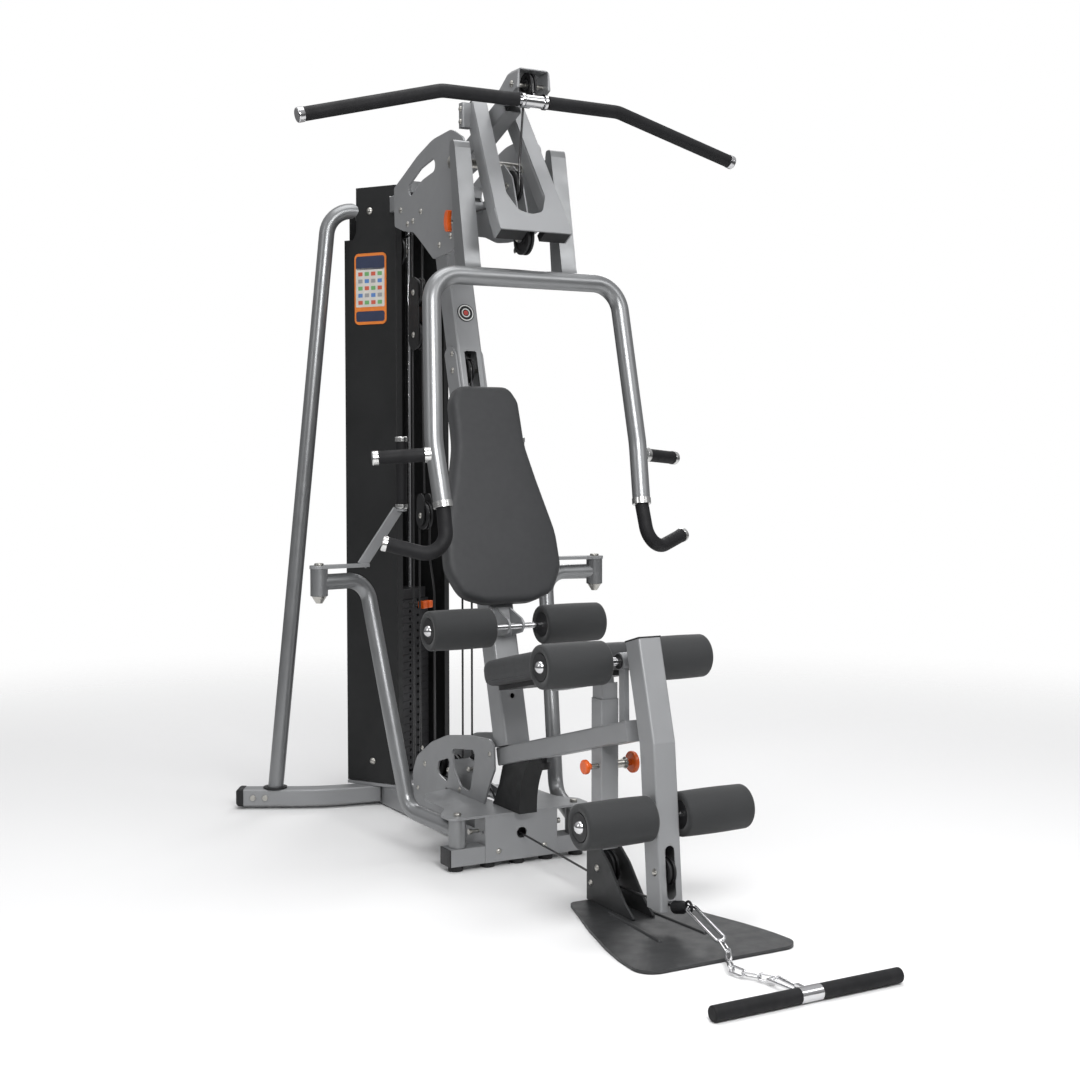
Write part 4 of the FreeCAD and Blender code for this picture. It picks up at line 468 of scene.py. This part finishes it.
# ---------------------------------------------------------------- finishes on the CAD nodes
def span(points):
    """Lowest and highest corner of the box round the points."""
    low = Vector(min(p[k] for p in points) for k in range(3))
    high = Vector(max(p[k] for p in points) for k in range(3))
    return low, high


def islands(mesh):
    """The separate solids of a mesh: face numbers, lowest corner and highest corner of each."""
    leader = {}

    def find(key):
        while leader[key] != key:
            leader[key] = leader[leader[key]]
            key = leader[key]
        return key

    # corners in the same hundredth of a millimetre are one corner
    keys = [tuple(round(c * 1e5) for c in v.co) for v in mesh.vertices]
    for key in keys:
        leader[key] = key
    for face in mesh.polygons:
        first = find(keys[face.vertices[0]])
        for index in face.vertices[1:]:
            leader[find(keys[index])] = first
    groups = {}
    for face in mesh.polygons:
        groups.setdefault(find(keys[face.vertices[0]]), []).append(face.index)
    result = []
    for faces in groups.values():
        points = [mesh.vertices[i].co for f in faces for i in mesh.polygons[f].vertices]
        result.append((faces, *span(points)))
    return result


def paint(name, rule):
    """Gives each solid of a CAD node the look that the rule names for its size and place."""
    mesh = NODES[name].data
    mesh.materials.clear()
    slots = {}
    for faces, low, high in islands(mesh):
        look = rule(high - low, (low + high) / 2)
        if look not in slots:
            slots[look] = len(mesh.materials)
            mesh.materials.append(LOOKS[look])
        for index in faces:
            mesh.polygons[index].material_index = slots[look]


def paint_plain():
    """Every CAD node first takes the look of its material slot in the record."""
    for part in frame["record"]["subparts"]:
        mesh = NODES[part["node"]].data
        mesh.materials.clear()
        mesh.materials.append(LOOKS[part["material_slot"]])


def paint_mixed():
    """Nodes whose solids are of different materials, told apart by size or place."""
    rod = 0.013         # the rods of the pull pins are thinner, their knobs thicker
    hub = 0.05          # the hub discs of the rollers are taller, the axles lower
    sleeve = 0.05       # the rubber of an upright hand grip is taller, its caps lower
    bar = 0.06          # the flat bar of a forearm is narrower, the plate on the arm wider
    axle = 0.05         # the axle of the leg pulley is wider, the pulley narrower
    board = 0.15        # the board under the seat pad is wider, the post and the rail narrower
    rear = 0.5          # the dark brackets at the tower and the pulley blocks lie behind this
    paint("press_pull_pin", lambda size, _: "zinc" if size.z < rod else "orange_plastic")
    for name in ("seat_pull_pin", "lock_pull_pin", "selector_pin"):
        paint(name, lambda size, _: "zinc" if min(size) < rod else "orange_plastic")
    for name in ("ankle_roller_axle", "knee_roller_axle", "hold_roller_axle"):
        paint(name, lambda size, _: "black_plastic" if size.z > hub else "chrome")
    for name in ("hand_grip_left", "hand_grip_right"):
        paint(name, lambda size, _: "grip_rubber" if size.z > sleeve else "bright_metal")
    for name in ("forearm_left", "forearm_right"):
        paint(name, lambda size, _: "zinc" if size.x < bar else "frame_silver")
    paint("leg_pulley", lambda size, _: "zinc" if size.x > axle else "black_plastic")
    paint("seat_post", lambda size, _: "black_plastic" if size.x > board else "frame_silver")
    paint("frame_brackets", lambda _, middle: "cover_grey" if middle.y > rear else "frame_silver")
    paint("placard", lambda _, middle: "label" if middle.y > TOWER_START else "black_plastic")


# ---------------------------------------------------------------- mesh helpers
def built_object(name, build, look):
    """Turns a bmesh into an object with one material."""
    mesh = bpy.data.meshes.new(name)
    build.to_mesh(mesh)
    build.free()
    mesh.materials.append(look)
    return new_object(name, mesh)


def join_rings(build, first, second):
    """Band of faces between two rings of the same number of points."""
    count = len(first)
    for k in range(count):
        n = (k + 1) % count
        build.faces.new((first[k], first[n], second[n], second[k]))


def turn_angle(k, steps):
    """Angle after k of the equal steps of a full turn."""
    return 2 * math.pi * k / steps


def shade_smooth(mesh):
    mesh.polygons.foreach_set("use_smooth", [True] * len(mesh.polygons))


def shaped_mesh(piece):
    """New mesh of an object as its modifiers or curve settings shape it."""
    graph = bpy.context.evaluated_depsgraph_get()
    return bpy.data.meshes.new_from_object(piece.evaluated_get(graph))


def apply_modifiers(piece):
    mesh = shaped_mesh(piece)
    piece.modifiers.clear()
    piece.data = mesh


def add_smoothing(piece, name, iterations):
    smooth = piece.modifiers.new(name, "SMOOTH")
    smooth.factor = 0.5
    smooth.iterations = iterations


# ---------------------------------------------------------------- soft pieces
def crown(piece, middle, normal, base):
    """Lifts the padded face into a soft pillow that fades out towards the outline and the back."""
    along = normal.cross(ACROSS).normalized()
    places = [((v.co - middle).dot(ACROSS), (v.co - middle).dot(along), v.co.dot(normal) - base)
              for v in piece.data.vertices]
    half_width, half_length, thickness = (max(abs(p[k]) for p in places) for k in range(3))
    for vertex, (side, reach, height) in zip(piece.data.vertices, places):
        share = (1 - (side / half_width) ** 2) * (1 - (reach / half_length) ** 4)
        vertex.co += normal * (PAD_CROWN * share * height / thickness)


def pad(name, node, body, back_axis):
    """Upholstered pad in the space of a CAD solid: remeshed, smoothed, crowned, smoothed again."""
    source = NODES[node].data
    low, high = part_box(node)
    middle = (low + high) / 2
    piece = new_object(name, source.copy())
    piece.data.materials.clear()
    normal = Vector(back_axis).normalized()
    base = min(v.co.dot(normal) for v in source.vertices)
    centre = middle - normal * (middle.dot(normal) - base)
    for vertex in piece.data.vertices:
        away = vertex.co.dot(normal) - base
        flat = vertex.co - normal * away
        vertex.co = centre + (flat - centre) * PAD_SHRINK + normal * (away * PAD_HEIGHT)
    remesh = piece.modifiers.new("remesh", "REMESH")
    remesh.mode = "VOXEL"
    remesh.voxel_size = PAD_VOXEL
    add_smoothing(piece, "smooth", 6)
    apply_modifiers(piece)
    crown(piece, middle, normal, base)
    add_smoothing(piece, "relax", 4)
    piece.modifiers.new("finer", "SUBSURF").levels = 1
    apply_modifiers(piece)
    for vertex in piece.data.vertices:
        above = vertex.co.dot(normal) - base
        if above < PAD_GAP:
            vertex.co += normal * (PAD_GAP - above)
    shade_smooth(piece.data)
    piece.data.materials.append(LOOKS["vinyl"])
    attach(piece, body)
    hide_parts(node)
    welt(name + "_seam", piece, middle, normal, base, body)


def welt(name, piece, middle, normal, base, body):
    """Sewn piping round the pad, found by casting rays inward at one height above its back."""
    tree = BVHTree.FromPolygons([v.co for v in piece.data.vertices],
                                [p.vertices for p in piece.data.polygons])
    centre = middle - normal * (middle.dot(normal) - base - SEAM_HEIGHT)
    along = normal.cross(ACROSS).normalized()
    points = []
    for k in range(SEAM_STEPS):
        angle = turn_angle(k, SEAM_STEPS)
        out = ACROSS * math.cos(angle) + along * math.sin(angle)
        hit, _, _, _ = tree.ray_cast(centre + out * SEAM_REACH, -out)
        points.append(hit)
    rope(name, points, SEAM_RADIUS, body, "vinyl", closed=True)


def rope(name, points, radius, body, look, closed=False):
    """Round bead along points, as a mesh. With no body, it is left unattached."""
    curve = bpy.data.curves.new(name, "CURVE")
    curve.dimensions = "3D"
    curve.bevel_depth = radius
    curve.bevel_resolution = 3
    spline = curve.splines.new("POLY")
    spline.points.add(len(points) - 1)
    for target, point in zip(spline.points, points):
        target.co = (*point, 1)
    spline.use_cyclic_u = closed
    outline = new_object(name, curve)
    mesh = shaped_mesh(outline)
    bpy.data.objects.remove(outline)
    piece = new_object(name, mesh)
    shade_smooth(mesh)
    mesh.materials.clear()
    mesh.materials.append(LOOKS[look])
    if body:
        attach(piece, body)
    return piece


def lathe(build, profile, centre):
    """Adds a closed ring of revolution about an X axis; profile is (x, radius) pairs."""
    rings = []
    for x, radius in profile:
        ring = []
        for k in range(ROUND_STEPS):
            angle = turn_angle(k, ROUND_STEPS)
            ring.append(build.verts.new((x, centre.y + radius * math.cos(angle),
                                         centre.z + radius * math.sin(angle))))
        rings.append(ring)
    for first, second in zip(rings, rings[1:] + rings[:1]):
        join_rings(build, first, second)


def roller_profile(inner, outer, radius):
    """Foam sleeve outline, (x, radius) pairs: dished ends, soft rims and a slight swell."""
    rim, dish = ROLLER_RIM, ROLLER_DISH
    lip_depth, lip_width = DISH_LIP
    edge = radius - ROLLER_SWELL
    straight = outer - inner - 2 * rim
    quarter = [math.pi / 2 * k / RIM_STEPS for k in range(RIM_STEPS + 1)]
    floor = inner + DISH_DEPTHS[0]
    outline = [(floor, ROLLER_BORE), (floor, dish), (inner + lip_depth, dish + lip_width)]
    for angle in quarter:
        outline.append((inner + rim - rim * math.cos(angle), edge - rim + rim * math.sin(angle)))
    for k in range(1, ROLLER_STEPS):
        share = k / ROLLER_STEPS
        swell = ROLLER_SWELL * math.sin(math.pi * share)
        outline.append((inner + rim + straight * share, edge + swell))
    for angle in reversed(quarter):
        outline.append((outer - rim + rim * math.cos(angle), edge - rim + rim * math.sin(angle)))
    floor = outer - DISH_DEPTHS[1]
    return outline + [(outer - lip_depth, dish + lip_width), (floor, dish), (floor, ROLLER_BORE)]


def rollers(name, node, body):
    """Pair of foam rollers in the space of their CAD solids."""
    low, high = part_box(node)
    centre = (low + high) / 2
    radius = (high.z - low.z) / 2
    inner = min(v.co.x for v in NODES[node].data.vertices if v.co.x > 0)
    build = bmesh.new()
    profile = roller_profile(inner, high.x, radius)
    lathe(build, profile, centre)
    lathe(build, [(-x, r) for x, r in profile], centre)
    bmesh.ops.recalc_face_normals(build, faces=build.faces)
    piece = built_object(name, build, LOOKS["foam"])
    shade_smooth(piece.data)
    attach(piece, body)
    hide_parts(node)


def cable_span(name, start, end):
    """Straight length of cable between two given points, from the frame to a body that pulls it;
    it is fixed in place, not attached to that body.
    """
    points = [Vector(start).lerp(Vector(end), k / SPAN_STEPS) for k in range(SPAN_STEPS + 1)]
    piece = rope(name, points, CABLE_RADIUS * SPAN_SHARE, None, "cable_coat")
    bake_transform(piece)


# ---------------------------------------------------------------- printed plate and badge
def attach_print(name, build, look):
    piece = built_object(name, build, look)
    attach(piece, "frame")


def front_middle(points, out):
    """Middle of the flat front of some points; out is the direction the front looks."""
    low, high = span(points)
    centre = (low + high) / 2
    return centre + out * (max(p.dot(out) for p in points) - centre.dot(out))


def flat_tile(name, centre, across, up, size, look, lift, corner):
    """Thin rounded tile standing just in front of a face; across and up are unit vectors."""
    out = across.cross(up).normalized()
    half_w, half_h = size[0] / 2, size[1] / 2
    outline = []
    for cx, cy, start in ((1, 1, 0), (-1, 1, 90), (-1, -1, 180), (1, -1, 270)):
        for k in range(CORNER_STEPS + 1):
            angle = math.radians(start + 90 / CORNER_STEPS * k)
            outline.append((cx * (half_w - corner) + corner * math.cos(angle),
                            cy * (half_h - corner) + corner * math.sin(angle)))
    build = bmesh.new()
    back, front = ([build.verts.new(centre + across * a + up * b + out * height)
                    for a, b in outline] for height in (lift, lift + PRINT_THICKNESS))
    build.faces.new(front)
    build.faces.new(back[::-1])
    join_rings(build, back, front)
    bmesh.ops.recalc_face_normals(build, faces=build.faces)
    attach_print(name, build, look)


def placard_print():
    """Generic exercise chart: navy head, pale panel and rows of plain colour blocks."""
    plate = [v.co for v in NODES["placard"].data.vertices if v.co.y > TOWER_START]
    turn = math.radians(PLACARD_TURN)
    out = Vector((-math.cos(turn), -math.sin(turn), 0))
    up = Vector((0, 0, 1))
    across = up.cross(out).normalized()
    centre = front_middle(plate, out)
    low, high = span(plate)
    width, height = PLACARD_WIDTH - PLACARD_MARGIN, high.z - low.z
    navy = printed("print_navy", (0.025, 0.035, 0.075))
    pale = printed("print_pale", (0.62, 0.60, 0.56))
    inks = [printed("print_red", (0.55, 0.10, 0.06)), printed("print_blue", (0.10, 0.22, 0.50)),
            printed("print_green", (0.15, 0.38, 0.14)), printed("print_grey", (0.30, 0.30, 0.30))]
    # name, height of its middle above the placard's, its own height, ink, corner radius
    panels = (("placard_head", height / 2 - 0.03, 0.042, navy, 0.008),
              ("placard_panel", 0.004, height - 0.100, pale, 0.003),
              ("placard_foot", 0.025 - height / 2, 0.032, navy, 0.008))
    for name, rise, tall, ink, corner in panels:
        flat_tile(name, centre + up * rise, across, up, (width, tall), ink, PANEL_LIFT, corner)
    for row in range(BLOCK_ROWS):
        for column in range(BLOCK_COLUMNS):
            side = (column - (BLOCK_COLUMNS - 1) / 2) * BLOCK_STEP[0]
            shift = across * side + up * (BLOCK_TOP - row * BLOCK_STEP[1])
            ink = inks[(row * 3 + column * 2) % len(inks)]
            flat_tile("placard_block_%d_%d" % (row, column), centre + shift, across, up,
                      BLOCK_SIZE, ink, BLOCK_LIFT, BLOCK_CORNER)


def disc(name, centre, out, radius, hole, look):
    """Flat ring in front of a face."""
    up = out.cross(ACROSS).normalized()
    build = bmesh.new()
    rings = []
    for r in (radius, hole):
        ring = []
        for k in range(BADGE_STEPS):
            angle = turn_angle(k, BADGE_STEPS)
            ring.append(build.verts.new(centre + out * BADGE_LIFT + ACROSS * (r * math.cos(angle))
                                        + up * (r * math.sin(angle))))
        rings.append(ring)
    join_rings(build, *rings)
    bmesh.ops.recalc_face_normals(build, faces=build.faces)
    bmesh.ops.solidify(build, geom=build.faces[:], thickness=BADGE_THICKNESS)
    attach_print(name, build, look)


def badge_print():
    """Plain rings and a dot on the round badge."""
    points = [v.co for v in NODES["placard"].data.vertices if v.co.y < TOWER_START]
    out = Vector(MAST_FACE).normalized()
    centre = front_middle(points, out)
    white = printed("print_white", (0.75, 0.75, 0.74))
    red = printed("print_badge_red", (0.50, 0.05, 0.04))
    disc("badge_ring", centre, out, 0.0235, 0.0205, white)
    disc("badge_band", centre, out, 0.0130, 0.0100, white)
    disc("badge_dot", centre, out, 0.0070, PINHOLE, red)


# ---------------------------------------------------------------- build
def build_all():
    make_camera()
    make_floor()
    make_light()
    paint_plain()
    paint_mixed()
    tilt = math.radians(SEAT_TILT)
    pad("seat_cushion", "seat_pad", "seat", (0, math.sin(tilt), math.cos(tilt)))
    pad("back_cushion", "back_pad", "back_rest", MAST_FACE)
    rollers("knee_foam", "knee_roller_foam", "knee_roller")
    rollers("ankle_foam", "ankle_roller_foam", "ankle_roller")
    rollers("hold_foam", "hold_roller_foam", "hold_roller")
    # each from the end of a rigid wire to the eye or stop that its bar takes along
    cable_span("pulldown_cable", (0, -0.093, 2.064), (0, -0.093, 2.048))
    cable_span("row_line", (0, -0.745, 0.0698), (0, -0.774, 0.0711))
    placard_print()
    badge_print()


build_all()
